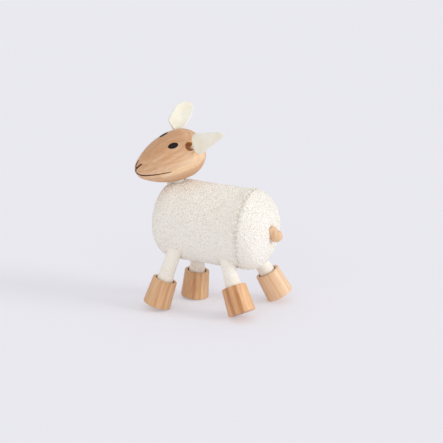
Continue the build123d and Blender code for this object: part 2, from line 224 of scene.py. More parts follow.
# Each ear's cut: share of its length, and its reach to the upper and lower side in widths
EAR_CUT = {
    "left": (
        (0.0, 0.08, 0.08), (0.035, 0.1, 0.1), (0.08, 0.4, 0.3), (0.19, 0.58, 0.42),
        (0.35, 0.58, 0.34), (0.55, 0.51, 0.18), (0.8, 0.42, 0.0), (1.0, 0.33, -0.13),
    ),
    "right": (
        (0.0, 0.12, 0.1), (0.02, 0.3, 0.12), (0.06, 0.54, 0.2), (0.2, 0.6, 0.28),
        (0.5, 0.62, 0.29), (0.74, 0.57, 0.23), (0.93, 0.43, 0.13), (1.0, 0.33, 0.07),
    ),
}
# Radius of the cup at shares of the length, and the most that a section bends round it
EAR_CUP = ((0, 0.12, 0.4, 1), (3.0, 6.4, 7.0, 8.5))
EAR_BEND = 1.3
# Share of the length where the tip's round starts, where the root is pinched, and the root's depth
EAR_TIP = 0.84
EAR_PINCH = 0.09
EAR_ROOT_DEPTH = 2.2
# Sections before the fine stretch at the tip and in it, its ends, and points on a section and a cut
EAR_SECTIONS, EAR_FINE, EAR_SIDES = (64, 24), (0.9, 0.9995), 96
CUT_STEPS = 80

# Painted lines: points in head axes, nose, left and up, then the share of the width at both ends.
# Each half of the face has an arm of the nose and half of the mouth, and the lip joins them.
HALF_LINES = {
    "nose": (
        ((17.65, 1.62, 4.28), (18.72, 1.18, 3.55), (19.58, 0.72, 2.62), (19.98, 0.02, 1.98)),
        (0.8, 1.1),
    ),
    "mouth": (
        ((20.4, 0.0, 0.05), (20.16, 1.54, 0.0), (19.44, 2.94, -0.1), (17.95, 4.36, -0.1),
         (15.76, 5.93, 0.08), (13.51, 7.25, 0.2), (10.79, 8.5, 0.42), (7.9, 9.45, 0.45)),
        (1.05, 0.45),
    ),
}
LIP_LINE = (((19.93, 0, 2.1), (20.27, 0, 1.14), (20.4, 0, 0.0)), (1.15, 1.05))
# Eyes: rings, sides, height of the dome and of its edge, and depth in the wood
EYE_RINGS, EYE_SIDES = 20, 64
EYE_DOME, EYE_EDGE, EYE_SINK = 0.2, 0.02, 0.08
# Lines: rings, sides, height, and the share of the length that narrows at each end
LINE_RINGS, LINE_SIDES = 90, 10
LINE_HEIGHT, LINE_TAPER = 0.07, 0.04

# Picture: sensor width, shares of the field's width, and how many of them the aim lies off the
# barrel's centre, right and up; half the floor's width
SENSOR = 36
FIELD_SHARES = 443
AIM_SHIFT = (5.5, 2.5)
FLOOR_HALF = 3000.0


def linear(code):
    """Linear red, green and blue of an sRGB hex colour."""
    values = [int(code[i : i + 2], 16) / 255 for i in (1, 3, 5)]
    return tuple(v / 12.92 if v <= 0.04045 else ((v + 0.055) / 1.055) ** 2.4 for v in values)


def unit(vector):
    """Vector, or each row of an array of them, scaled to length one."""
    return vector / np.linalg.norm(vector, axis=-1, keepdims=True)


def eased(share):
    """Share held between 0 and 1, with an eased start and end."""
    share = np.clip(share, 0, 1)
    return share * share * (3 - 2 * share)


def circle(count):
    """Angles of a full turn in equal steps."""
    return np.linspace(0, math.tau, count, endpoint=False)


def rays(angle, first, second):
    """Directions at angles: the first one at zero, the second one a quarter turn on."""
    return np.cos(angle)[..., None] * first + np.sin(angle)[..., None] * second


def joint_place(name):
    """Pivot of a joint in millimetres and its unit axis."""
    joint = JOINTS[name]
    return np.array(joint["pos_m"]) / MM, unit(np.array(joint["axis"]))


def node_points(name):
    """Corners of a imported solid's mesh in millimetres."""
    mesh = FRAME["nodes"][name].data
    points = np.empty(len(mesh.vertices) * 3)
    mesh.vertices.foreach_get("co", points)
    return points.reshape(-1, 3) / MM


class HeadFrame:
    """Head axes: nose, left and up, with the centre of the egg's widest section."""

    def __init__(self):
        pivot, neck_axis = joint_place("head_turn")
        self.centre = pivot + neck_axis * HEAD_ABOVE_PIVOT
        self.left = joint_place("head_nod")[1]
        away = node_points("head") - self.centre
        tip = away[np.argmax((away**2).sum(1))]
        self.nose = unit(tip - self.left * (tip @ self.left))
        self.up = np.cross(self.nose, self.left)
        self.axes = np.array((self.nose, self.left, self.up))

    def place(self, points):
        """Points given along nose, left and up, moved to the toy's frame."""
        return self.centre + points @ self.axes


class LegFrame:
    """Hip, ankle bend and hoof axis of one leg, from its joints and its sole."""

    def __init__(self, name):
        self.hip = joint_place(f"{name}_swing")[0]
        self.ankle = joint_place(f"{name}_hoof_bend")[0]
        self.hoof_down = unit(np.array(SOLES[f"{name}_sole"]["axis"]))
        self.sole = np.array(SOLES[f"{name}_sole"]["pos_m"]) / MM
        self.length = np.linalg.norm(self.ankle - self.hip)
        self.down = (self.ankle - self.hip) / self.length


HEAD = HeadFrame()
LEG_FRAMES = {name: LegFrame(name) for name in LEGS}
NECK_PIVOT, NECK_AXIS = joint_place("head_turn")
TAIL_POINTS = node_points("tail")
TAIL_MIDDLE = (TAIL_POINTS.min(0) + TAIL_POINTS.max(0)) / 2


# Noise on whole arrays


def cellular(points, size, seed):
    """Distance to the nearest of one random point per cube of a lattice, in cubes.

    The random points come from one seeded tile that repeats, and each point looks in the 27 cubes
    round its own.
    """
    tile = 48
    sites = np.random.default_rng(seed).random((tile, tile, tile, 3))
    scaled = points / size
    home = np.floor(scaled).astype(int)
    nearest = np.full(len(points), np.inf)
    for step in np.ndindex(3, 3, 3):
        cube = home + np.array(step) - 1
        site = cube + sites[tuple((cube % tile).T)]
        nearest = np.minimum(nearest, ((scaled - site) ** 2).sum(1))
    return np.sqrt(nearest)


def nubs(points, spacing, seed):
    """Round nubs from 0 to 1: one less the squared distance to scattered points."""
    return np.clip(1 - (cellular(points, spacing, seed) / NUB_REACH) ** 2, 0, 1)


def swell(points, height, size, seed):
    """Smooth noise of a height up and down: random lattice values blended with eased weights."""
    tile = 32
    values = np.random.default_rng(seed).uniform(-1, 1, (tile, tile, tile))
    scaled = points / size
    home = np.floor(scaled).astype(int)
    ease = eased(scaled - home)
    total = np.zeros(len(points))
    for corner in np.ndindex(2, 2, 2):
        weight = np.prod(np.where(np.array(corner), ease, 1 - ease), axis=1)
        total += weight * values[tuple(((home + np.array(corner)) % tile).T)]
    return height * total


# Meshes from grids


def link(obj):
    """Put a new object in the scene."""
    bpy.context.scene.collection.objects.link(obj)
    return obj


def make_object(name, points, faces, pile=None):
    """Smooth mesh object from points in millimetres; pile, from 0 to 1, is kept as an attribute."""
    mesh = bpy.data.meshes.new(name)
    mesh.from_pydata((np.asarray(points) * MM).tolist(), [], faces)
    mesh.polygons.foreach_set("use_smooth", np.ones(len(mesh.polygons), dtype=bool))
    if pile is not None:
        attribute = mesh.attributes.new("pile", "FLOAT", "POINT")
        attribute.data.foreach_set("value", np.asarray(pile, dtype=np.float32))
    mesh.update()
    return link(bpy.data.objects.new(name, mesh))


def wall(rings, around):
    """Quads between each ring of corners and the next."""
    step = np.arange(around)
    after = (step + 1) % around
    row = np.arange(rings - 1)[:, None] * around
    corners = (row + step, row + after, row + after + around, row + step + around)
    return np.stack(corners, -1).reshape(-1, 4)


def ring_solid(name, rings, pile=None):
    """Closed surface through rings of equal count: a wall, and a fan to a pole at each end.

    Its faces are turned over when the volume they enclose comes out negative.
    """
    count, around = rings.shape[:2]
    quads = wall(count, around)
    step = np.arange(around)
    after = (step + 1) % around
    first, top = count * around, (count - 1) * around
    low = np.stack((np.full(around, first), after, step), -1)
    high = np.stack((top + step, top + after, np.full(around, first + 1)), -1)
    points = np.concatenate((rings.reshape(-1, 3), rings[:1].mean(1), rings[-1:].mean(1)))
    a, b, c, d = (points[quads[:, k]] - points[0] for k in range(4))
    volume = (np.cross(a, b) * c).sum() + (np.cross(a, c) * d).sum()
    if volume < 0:
        quads, low, high = quads[:, ::-1], low[:, ::-1], high[:, ::-1]
    if pile is not None:
        pile = np.concatenate((pile.reshape(-1), pile[[0, -1]].mean(1)))
    return make_object(name, points, quads.tolist() + low.tolist() + high.tolist(), pile)


def many_tubes(name, tubes, pile):
    """One mesh of many short four-sided tubes, given as tube, ring, corner and place."""
    count, rings, sides = tubes.shape[:3]
    step = np.arange(sides)
    one = np.concatenate((wall(rings, sides), (step[::-1], (rings - 1) * sides + step)))
    faces = (one[None] + (np.arange(count) * rings * sides)[:, None, None]).reshape(-1, 4)
    return make_object(name, tubes.reshape(-1, 3), faces.tolist(), pile.reshape(-1))


def smooth_line(controls, count):
    """Points on a curve through controls: cubic stretches whose slopes come from the neighbours."""
    controls = np.asarray(controls, dtype=float)
    before, beyond = 2 * controls[:1] - controls[1:2], 2 * controls[-1:] - controls[-2:-1]
    padded = np.concatenate((before, controls, beyond))
    where = np.linspace(0, len(controls) - 1, count)
    index = np.minimum(where.astype(int), len(controls) - 2)
    t = (where - index)[:, None]
    p0, p1, p2, p3 = (padded[index + k] for k in range(4))
    square, cube = 2 * p0 - 5 * p1 + 4 * p2 - p3, 3 * p1 - p0 - 3 * p2 + p3
    return 0.5 * (2 * p1 + (p2 - p0) * t + square * t**2 + cube * t**3)


# Materials


def add_node(tree, kind, values=None, links=None, **settings):
    """Add a shader node, set its properties and sockets, and link other sockets into it."""
    node = tree.nodes.new("ShaderNode" + kind)
    for key, value in settings.items():
        setattr(node, key, value)
    for key, value in (values or {}).items():
        node.inputs[key].default_value = value
    for key, socket in (links or {}).items():
        tree.links.new(socket, node.inputs[key])
    return node


def new_material(name, **shader):
    """Empty node material, with its Principled shader's constant sockets set."""
    material = bpy.data.materials.new(name)
    material.use_nodes = True
    tree = material.node_tree
    tree.nodes.clear()
    values = {key.replace("_", " "): value for key, value in shader.items()}
    principled = add_node(tree, "BsdfPrincipled", values)
    add_node(tree, "OutputMaterial", links={"Surface": principled.outputs["BSDF"]})
    return material, tree, principled


def wired(material, shader, **sockets):
    """Material with sockets linked into its shader."""
    for key, socket in sockets.items():
        material.node_tree.links.new(socket, shader.inputs[key.replace("_", " ")])
    return material


def colour(tone):
    """Colour socket value from an sRGB hex code or from linear red, green and blue."""
    return (*(linear(tone) if isinstance(tone, str) else tone), 1.0)


def mixed(tree, factor, first, second):
    """Colour between two, each of them a socket, an sRGB hex code or a linear colour."""
    values, links = {}, {"Factor": factor}
    for key, item in ((6, first), (7, second)):
        if isinstance(item, bpy.types.NodeSocket):
            links[key] = item
        else:
            values[key] = colour(item)
    return add_node(tree, "Mix", values, links, data_type="RGBA").outputs[2]


def vector_math(tree, operation, values, links):
    """Vector arithmetic node."""
    return add_node(tree, "VectorMath", values, links, operation=operation)


def millimetre_space(tree, axes=None, centre=(0, 0, 0)):
    """Object coordinates in millimetres, turned so that the pattern's own axes lie along axes."""
    turn = Matrix(np.eye(3) if axes is None else axes)
    values = {"Location": -(turn @ Vector(centre)), "Rotation": turn.to_euler(),
              "Scale": (1 / MM, 1 / MM, 1 / MM)}
    coords = add_node(tree, "TexCoord").outputs["Object"]
    return add_node(tree, "Mapping", values, {"Vector": coords}).outputs["Vector"]


def noise(tree, space, scale, detail=3.0, rough=0.55):
    """Noise value of a space, with one scale or a scale per axis in patterns per millimetre."""
    scales = tuple(np.broadcast_to(scale, 3))
    stretched = vector_math(tree, "MULTIPLY", {1: scales}, {0: space}).outputs[0]
    return add_node(tree, "TexNoise", {"Scale": 1.0, "Detail": detail, "Roughness": rough},
                    {"Vector": stretched}).outputs["Fac"]


def ranged(tree, value, low, high, to_low=0.0, to_high=1.0):
    """Value carried from one range to another, held at the ends."""
    values = {"From Min": low, "From Max": high, "To Min": to_low, "To Max": to_high}
    return add_node(tree, "MapRange", values, {"Value": value}).outputs["Result"]


def veiled(tree, base, veil, value, low, high, share=1.0):
    """Colour covered by another one where a value rises from low to high, up to a share."""
    return mixed(tree, ranged(tree, value, low, high, 0.0, share), base, veil)


def bump(tree, height, depth, strength):
    """Bump normal from a height socket; depth is in millimetres."""
    values = {"Strength": strength, "Distance": depth * MM}
    return add_node(tree, "Bump", values, {"Height": height}).outputs["Normal"]


def stored_pile(tree):
    """Pile that the mesh keeps, from 0 to 1."""
    return add_node(tree, "Attribute", attribute_name="pile").outputs["Fac"]


def looped_wool_fleece(name, tips, creases):
    """Looped wool fleece: matt, pale tips over warmer painted crease shade, a faint edge sheen."""
    material, tree, shader = new_material(name, Roughness=0.95, Sheen_Weight=0.12,
                                          Sheen_Roughness=0.6, Specular_IOR_Level=0.15)
    space = millimetre_space(tree)
    # Yarn fibres at 0.35 mm, coarser than real wool so that they show
    fibre = noise(tree, space, 2.9, 4.0, 0.6)
    patch = noise(tree, space, 0.14, 2.0)
    # Painted shade: the crease tone where the stored pile is low, deep between the nubs and loops
    base = veiled(tree, creases, tips, stored_pile(tree), 0.1, 0.75)
    base = veiled(tree, base, tips, fibre, 0.35, 0.62, 0.35)
    base = veiled(tree, base, creases, patch, 0.45, 0.7, 0.22)
    return wired(material, shader, Base_Color=base, Normal=bump(tree, fibre, 0.14, 0.45))


def brushed_knit(name, tips, creases):
    """Brushed cotton knit: close matt nap, almost white, whose stitches show as soft shading."""
    material, tree, shader = new_material(name, Roughness=0.9, Sheen_Weight=0.15,
                                          Sheen_Roughness=0.5, Specular_IOR_Level=0.2)
    space = millimetre_space(tree)
    # Nap at 0.3 mm, coarser than real cotton so that it shows
    nap = noise(tree, space, 3.4, 4.0, 0.6)
    cloud = noise(tree, space, 0.3, 2.0)
    # Painted shade: the crease tone where the stored pile is low, deep in the nap
    base = veiled(tree, creases, tips, stored_pile(tree), 0.1, 0.8)
    base = veiled(tree, base, creases, cloud, 0.4, 0.75, 0.35)
    return wired(material, shader, Base_Color=base, Normal=bump(tree, nap, 0.12, 0.4))


def pressed_felt(name, pale, shade):
    """Pressed wool felt: matt, of short tangled fibres, cream inside and paler at its cut edge."""
    material, tree, shader = new_material(name, Roughness=0.92, Sheen_Weight=0.15,
                                          Sheen_Roughness=0.5, Specular_IOR_Level=0.15)
    space = millimetre_space(tree)
    # Fibres 0.2 by 0.45 mm, coarser than real felt so that they show
    fibre = noise(tree, space, (2.2, 5.0, 2.2), 5.0, 0.65)
    cloud = noise(tree, space, 0.22, 3.0)
    base = veiled(tree, pale, shade, cloud, 0.35, 0.7, 0.8)
    base = veiled(tree, base, "#EEF0E8", stored_pile(tree), 0.72, 1.0, 0.7)
    base = veiled(tree, base, "#FFFDF6", fibre, 0.3, 0.6, 0.18)
    return wired(material, shader, Base_Color=base, Normal=bump(tree, fibre, 0.2, 0.6))


def layered(tree, base, dark, sway, centre, side, layers):
    """Colour with darker streaks and painted shade stacked along side: a ramp with one stop for each layer.

    The layers wave with the sway, which is a noise colour.
    """
    wave = {1: (LAYER_WAVE, LAYER_WAVE, LAYER_WAVE)}
    waved = vector_math(tree, "MULTIPLY_ADD", wave, {0: sway, 2: millimetre_space(tree)})
    place = vector_math(tree, "DOT_PRODUCT", {1: side}, {0: waved.outputs[0]}).outputs["Value"]
    middle = float(np.dot(side, np.array(centre) + LAYER_WAVE / 2))
    first, last = layers[0][0], layers[-1][0]
    share = ranged(tree, place, middle + first, middle + last)
    ramp = add_node(tree, "ValToRGB", links={"Fac": share})
    stops = ramp.color_ramp.elements
    while len(stops) < len(layers):
        stops.new(1.0)
    for stop, (place, tone) in zip(stops, layers):
        stop.position = (place - first) / (last - first)
        stop.color = (tone, tone, tone, 1.0)
    return mixed(tree, ramp.outputs["Color"], base, dark)


def turned_beech(name, grain, centre, tones, ring, lean=(0.05, 0.03), aside=(9.0, 5.0),
                 contrast=0.6, gloss=0.42, fleck_share=0.25, stacks=(), shaded_holes=()):
    """Turned beech with a satin wax finish: growth rings round a pith beside the piece, so its
    flanks show long streaks and its ends arcs, with darker flecks along the grain.

    grain is the direction of the wood's length; aside and lean put the pith beside the piece and
    tip it. stacks are darker layers, partly streaks of the wood and partly painted shade: the
    direction that they are stacked in, and for each its place in millimetres from the centre and its
    darkness. The drilled holes get painted shade inside, a darker and stronger colour: for each a
    place inside, the colour's reach round it, and the colour.
    """
    light, middle, dark = tones
    material, tree, shader = new_material(name, Specular_IOR_Level=0.4, Coat_Weight=0.12,
                                          Coat_Roughness=0.35)
    length = unit(np.array(grain))
    across = unit(np.cross(length, SKEW))
    length = unit(length + lean[0] * across + lean[1] * np.cross(length, across))
    across = unit(np.cross(length, SKEW))
    axes = np.array((across, np.cross(length, across), length))
    space = millimetre_space(tree, axes, np.array(centre) + axes.T @ np.array((*aside, 0.0)))
    sway = add_node(tree, "TexNoise", {"Scale": 0.07, "Detail": 2.0},
                    {"Vector": space}).outputs["Color"]
    moved = vector_math(tree, "MULTIPLY_ADD", {1: (3.2, 3.2, 0.0)}, {0: sway, 2: space}).outputs[0]
    # A wave of rings turns 20 / (2 pi) times per unit, so this gives one ring per ring millimetres
    values = {"Scale": math.tau / 20 / ring, "Distortion": 1.2, "Detail": 2.0, "Detail Scale": 1.5}
    rings = add_node(tree, "TexWave", values, {"Vector": moved}, wave_type="RINGS",
                     rings_direction="Z", wave_profile="SAW").outputs["Fac"]
    streak = noise(tree, space, (1.1, 1.1, 0.05), 3.0)
    # Vessel flecks 0.25 mm wide and 4 mm long, wider than in real beech so that they show
    fleck = noise(tree, space, (4.0, 4.0, 0.25), 4.0, 0.6)
    base = veiled(tree, light, middle, streak, 0.35, 0.68)
    base = veiled(tree, base, dark, rings, 0.35, 1.0, contrast)
    for side, layers in stacks:
        base = layered(tree, base, dark, sway, centre, side, layers)
    base = veiled(tree, base, dark, fleck, 0.56, 0.75, fleck_share)
    # Painted shade inside the drilled holes
    for place, reach, hole_shade in shaded_holes:
        away = vector_math(tree, "DISTANCE", {1: place}, {0: millimetre_space(tree)})
        inside = ranged(tree, away.outputs["Value"], reach - 0.25, reach, 0.85, 0.0)
        base = mixed(tree, inside, base, hole_shade)
    return wired(material, shader, Base_Color=base, Normal=bump(tree, fleck, 0.06, 0.35),
                 Roughness=ranged(tree, fleck, 0.3, 0.7, gloss - 0.06, gloss + 0.12))


def hand_paint(name, deep, thin, gloss):
    """Hand-brushed paint: dense, a little thinner in patches, softly glossy with brush lines."""
    material, tree, shader = new_material(name, Specular_IOR_Level=0.3)
    space = millimetre_space(tree)
    patch = noise(tree, space, 1.6, 3.0)
    brush = noise(tree, space, (6.0, 1.5, 6.0), 3.0)
    base = veiled(tree, deep, thin, patch, 0.4, 0.75, 0.6)
    return wired(material, shader, Base_Color=base, Normal=bump(tree, brush, 0.03, 0.4),
                 Roughness=ranged(tree, brush, 0.3, 0.7, gloss - 0.05, gloss + 0.1))


def drawn_wire(name):
    """Drawn soft steel wire: bright grey metal with fine lengthwise draw marks."""
    material, tree, shader = new_material(name, Metallic=1.0)
    marks = noise(tree, millimetre_space(tree), (8.0, 8.0, 0.4), 3.0)
    base = veiled(tree, "#B9B7B2", "#8F8D89", marks, 0.35, 0.7)
    return wired(material, shader, Base_Color=base,
                 Roughness=ranged(tree, marks, 0.3, 0.7, 0.28, 0.45))


def give_material(obj, material):
    """Put one material on every slot of an object."""
    obj.data.materials.clear()
    obj.data.materials.append(material)


def dress(obj, material, body, slot, *nodes):
    """Finish a new piece: material, the body it rides on and what it replaces; slot is not used."""
    give_material(obj, material)
    if body:
        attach(obj, body)
    if nodes:
        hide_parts(*nodes)


# Fleece jacket


def barrel_outline(grow):
    """Outline of the barrel from front pole to rear pole, grown outward.

    Each end is a crown arc, then a shoulder arc tangent to it and to the straight side. Columns are
    the length along the line, the place along the barrel, the radius and the outward slope in both.
    """
    rise = BARREL_RADIUS - SHOULDER_RADIUS
    crown = ((DOME_DEPTH**2 + rise**2 - SHOULDER_RADIUS**2)
             / (2 * (DOME_DEPTH - SHOULDER_RADIUS)))
    crown_x = BARREL_HALF + DOME_DEPTH - crown
    meet = math.atan2(rise, BARREL_HALF - crown_x)
    crown_angle = np.linspace(0, meet, ARC_STEPS)
    shoulder_angle = np.linspace(meet, math.pi / 2, ARC_STEPS)[1:]
    x = np.concatenate((crown_x + (crown + grow) * np.cos(crown_angle),
                        BARREL_HALF + (SHOULDER_RADIUS + grow) * np.cos(shoulder_angle)))
    r = np.concatenate(((crown + grow) * np.sin(crown_angle),
                        rise + (SHOULDER_RADIUS + grow) * np.sin(shoulder_angle)))
    angle = np.concatenate((crown_angle, shoulder_angle))
    x, r = np.concatenate((x, -x[::-1])), np.concatenate((r, r[::-1]))
    angle = np.concatenate((angle, math.pi - angle[::-1]))
    along = np.concatenate(((0.0,), np.cumsum(np.hypot(np.diff(x), np.diff(r)))))
    return np.stack((along, x, r, np.cos(angle), np.sin(angle)), -1)


def outline_at(line, along):
    """Rows of an outline at given lengths along it."""
    return np.stack([np.interp(along, line[:, 0], line[:, k]) for k in range(1, 5)], -1)


def turned_about_barrel(rows, angle):
    """Points and outward directions of outline rows turned about the barrel's axis to angles."""
    ray = rays(angle, UP, LEFT)
    x, r, slope_x, slope_r = (rows[..., k, None] for k in range(4))
    return BARREL_CENTRE + x * FORWARD + r * ray, slope_x * FORWARD + slope_r * ray


def limb_distance(points):
    """Distance from each point to the nearest limb's side, negative inside a limb."""
    limbs = [(leg.hip, leg.down, SLEEVE_RADIUS) for leg in LEG_FRAMES.values()]
    limbs.append((NECK_PIVOT - NECK_AXIS * NECK_REACH, NECK_AXIS, NECK_HOLE_RADIUS))
    nearest = np.full(len(points), np.inf)
    for root, direction, radius in limbs:
        away = points - root
        reach = away @ direction
        gap = np.linalg.norm(away - reach[:, None] * direction, axis=1) - radius
        nearest = np.minimum(nearest, np.where(reach > LIMB_START, gap, np.inf))
    by_tail = np.flatnonzero(np.linalg.norm(points - TAIL_MIDDLE, axis=1) < TAIL_NEAR)
    apart = np.linalg.norm(points[by_tail, None] - TAIL_POINTS[None, ::3], axis=2)
    nearest[by_tail] = np.minimum(nearest[by_tail], apart.min(1, initial=np.inf))
    return nearest


def fleece_height(points, settings, seed):
    """Height of the fleece over its backing and its pile from 0 to 1.

    Round nubs from the distance to scattered points, finer nubs on them, slow swells, and a dip
    round each limb.
    """
    spacing = settings.nub_spacing / MM
    fine = nubs(points, spacing * FINE_NUBS, seed + 1)
    pile = (1 - FINE_SHARE) * np.sqrt(nubs(points, spacing, seed)) + FINE_SHARE * fine
    dip = np.exp(-((np.clip(limb_distance(points), 0, None) / settings.dip_width * MM) ** 2))
    height = (pile - FLEECE_LEVEL) * settings.pile_height / MM
    height = height + swell(points, *FLEECE_SWELL, seed + 2)
    return height - dip * settings.dip_depth / MM, pile


def fleece_line(side, grow):
    """Outline from the front pole for side 1 or the rear for -1, and the length to the seam."""
    line = barrel_outline(grow) * (1, side, 1, side, 1)
    return line, np.interp(BARREL_HALF * side, -side * line[:, 1], line[:, 0])


def upper_share(angle):
    """One on the fullest line near the barrel's top, falling to none a quarter turn from it."""
    return np.clip(np.cos(angle - FULL_TURN), 0, 1) ** 1.5


def fullness(side, along, seam, angle, settings):
    """How far the stuffed fleece stands out or in from its even outline.

    A round swell along the upper part of the seam, and on the rear cap a fall-off at its upper
    shoulder; both are bell curves of the length along the outline, weighted by the upper share.
    """
    swelling = settings.seam_swell / MM * np.exp(-(((seam - along) / SEAM_SWELL_REACH) ** 2))
    if side < 0:
        fall = np.exp(-(((along - CAP_FALL_PLACE) / CAP_FALL_WIDTH) ** 2))
        swelling = swelling - settings.shoulder_fall / MM * fall
    return swelling * upper_share(angle)


def fleece_panel(name, side, grow, settings, seed):
    """One part of the jacket: an outer skin of nubs, an edge drawn into the seam, an inner skin.

    Rows of the outline run from the pole to the seam and back inside, turned about the barrel's
    axis. The edge falls in an eased step whose depth goes up and down once per stitch and is least
    underneath.
    """
    outer, seam = fleece_line(side, grow)
    inner, inner_seam = fleece_line(side, -FLEECE_THICKNESS)
    spacing = settings.mesh_spacing / MM
    along = np.linspace(spacing / 2, seam, int(seam / spacing))
    angle = circle(int(math.tau * BARREL_RADIUS / spacing))
    skin, normal = turned_about_barrel(outline_at(outer, along)[:, None, :], angle[None, :])
    shape = skin.shape[:2]
    height, pile = fleece_height(skin.reshape(-1, 3), settings, seed)
    near = np.clip(1 - (seam - along) / (settings.seam_roll / MM), 0, 1)[:, None]
    stitch = SEAM_EVEN + (1 - SEAM_EVEN) * np.cos(angle * settings.stitches)
    stitch = stitch * (SEAM_EVEN + (1 - SEAM_EVEN) * np.cos(angle - SEAM_DEEP_TURN))
    height = height.reshape(shape) + fullness(side, along[:, None], seam, angle[None, :], settings)
    height = height - settings.seam_depth / MM * eased(near) * stitch
    rows = outline_at(inner, np.linspace(inner_seam, LINING_END, LINING_ROWS))
    lining, _ = turned_about_barrel(rows[:, None, :], angle[None, :])
    # Painted shade: near the seam the pile's colour falls towards the crease tone, and the inner skin has the
    # crease tone throughout
    pile = pile.reshape(shape) * (1 - SEAM_SHADE_SHARE * near)
    pile = np.concatenate((pile, np.zeros(lining.shape[:2])))
    return ring_solid(name, np.concatenate((skin + normal * height[..., None], lining)), pile)


def fleece_curls(name, side, grow, settings, seed, layer):
    """Yarn loops over the fleece: each an open ring of yarn lying tilted on the skin.

    Loops stand on rows a little under one spacing apart, as many to a row as its circle holds, and
    are moved at random by up to half a spacing. The second layer's rows lie between the first
    one's. A loop's line is part of a circle in a plane tipped from the skin, and its yarn thins at
    the ends.
    """
    random = np.random.default_rng(seed + 100 + layer)
    spacing = settings.curl_spacing / MM
    outer, seam = fleece_line(side, grow)
    row_clear, loop_clear = LOOP_SEAM_CLEAR
    along = np.arange(spacing / 2 * (1 + layer), seam - row_clear, spacing * LOOP_ROWS)
    counts = np.maximum(3, (math.tau * outline_at(outer, along)[:, 1] / spacing).astype(int))
    row = np.repeat(np.arange(len(along)), counts)
    order = np.arange(len(row)) - np.repeat(np.cumsum(counts) - counts, counts)
    angle = math.tau * (order + random.uniform(0, 2 * LOOP_SHIFT, len(row))) / counts[row]
    places = along[row] + random.uniform(-LOOP_SHIFT, LOOP_SHIFT, len(row)) * spacing
    places = np.clip(places, 0.1, seam - loop_clear)
    centre, normal = turned_about_barrel(outline_at(outer, places), angle)
    full = fullness(side, places, seam, angle, settings)
    keep = limb_distance(centre) > LOOP_LIMB_CLEAR
    centre, normal, full = centre[keep], normal[keep], full[keep]
    count = len(centre)
    height, _ = fleece_height(centre, settings, seed)
    centre = centre + normal * (height + full - LOOP_SINK)[:, None]
    start = unit(np.cross(normal, random.normal(size=(count, 3))))
    tip = random.uniform(*LOOP_TIP, count)[:, None]
    second = np.cross(normal, start) * np.cos(tip) + normal * np.sin(tip)
    square = np.cross(start, second)
    turn = np.linspace(0, 1, LOOP_RINGS)[None, :] * random.uniform(*LOOP_TURN, count)[:, None]
    ray = rays(turn, start[:, None], second[:, None])
    ring = settings.curl_radius / MM * random.uniform(*LOOP_SIZE, count)[:, None, None]
    arch = np.sin(np.linspace(0.35, math.pi - 0.35, LOOP_RINGS))
    thinned = LOOP_END + (1 - LOOP_END) * arch
    section = rays(circle(LOOP_SIDES), ray[:, :, None], -square[:, None, None])
    yarn = settings.yarn_radius / MM * thinned[None, :, None, None]
    tubes = (centre[:, None] + ring * ray)[:, :, None] + section * yarn
    # Painted light and shade on the loops: the yarn takes the tip tone where it rises off the skin and the crease
    # tone where it dips to it
    pile = np.clip(0.72 + 0.3 * np.sin(turn) * np.sin(tip), 0, 1)
    return many_tubes(name, tubes, np.repeat(pile[:, :, None], LOOP_SIDES, axis=2))


def seam_thread(name, settings):
    """Overcast stitches over the seam: short arched threads, slanted, one per stitch.

    Each runs along the barrel from the wrap to the cap while its angle moves on, lifted by half a
    sine.
    """
    step = math.tau / settings.stitches
    angle = (np.arange(settings.stitches) + 0.5) * step
    uneven = np.random.default_rng(61).uniform(-STITCH_UNEVEN, STITCH_UNEVEN, angle.size)
    angle = angle + uneven * step
    t = np.linspace(0, 1, STITCH_STEPS)
    x = -BARREL_HALF + (0.5 - t) * 2 * settings.stitch_reach / MM
    r = BARREL_RADIUS - STITCH_SINK + STITCH_ARCH * np.sin(math.pi * t) ** 0.7
    turn = angle[:, None] + (t - 0.5)[None, :] * STITCH_SLANT * step
    r = r + settings.seam_swell / MM * upper_share(turn)
    ray = rays(turn, UP, LEFT)
    line = BARREL_CENTRE + x[None, :, None] * FORWARD + r[..., None] * ray
    corner = circle(4) + math.pi / 4
    section = rays(corner, ray[:, :, None], np.cross(FORWARD, ray)[:, :, None])
    tubes = line[:, :, None] + section * settings.thread_radius / MM
    return many_tubes(name, tubes, np.full(tubes.shape[:3], 0.8))


# Sleeves and wires


def leg_route(leg):
    """Centre line of a leg sleeve, its direction and its length along.

    Straight from inside the hip, a parabola round the ankle, then straight into the hoof's socket.
    """
    before = leg.ankle - leg.down * ANKLE_ROUND
    after = leg.ankle + leg.hoof_down * ANKLE_ROUND
    shin = np.linspace(-SLEEVE_ROOT, leg.length - ANKLE_ROUND, SHIN_STEPS, endpoint=False)[:, None]
    t = np.linspace(0, 1, ANKLE_STEPS, endpoint=False)[:, None]
    seat = np.linspace(0, SLEEVE_SEAT - ANKLE_ROUND, SEAT_STEPS)[:, None]
    bend = (1 - t) ** 2 * before + 2 * t * (1 - t) * leg.ankle + t**2 * after
    line = np.concatenate((leg.hip + shin * leg.down, bend, after + seat * leg.hoof_down))
    direction = np.concatenate((np.repeat(leg.down[None], SHIN_STEPS, 0),
                                (1 - t) * leg.down + t * leg.hoof_down,
                                np.repeat(leg.hoof_down[None], SEAT_STEPS, 0)))
    along = np.concatenate(((0.0,), np.cumsum(np.linalg.norm(np.diff(line, axis=0), axis=1))))
    return line, unit(direction), along


def napped_rings(line, direction, side, radius, settings, seed):
    """Rings of a soft tube and its pile: circles square to a line, lifted by nubs and swells."""
    ray = rays(circle(SLEEVE_SIDES), np.cross(side, direction)[:, None], side)
    rings = line[:, None] + ray * radius[:, None, None]
    flat = rings.reshape(-1, 3)
    pile = nubs(flat, settings.nap_spacing / MM, seed)
    lift = (pile - NAP_LEVEL) * (settings.nap_height / MM) + swell(flat, *SLEEVE_SWELL, seed + 1)
    shape = rings.shape[:2]
    return rings + ray * lift.reshape(shape)[..., None], pile.reshape(shape)


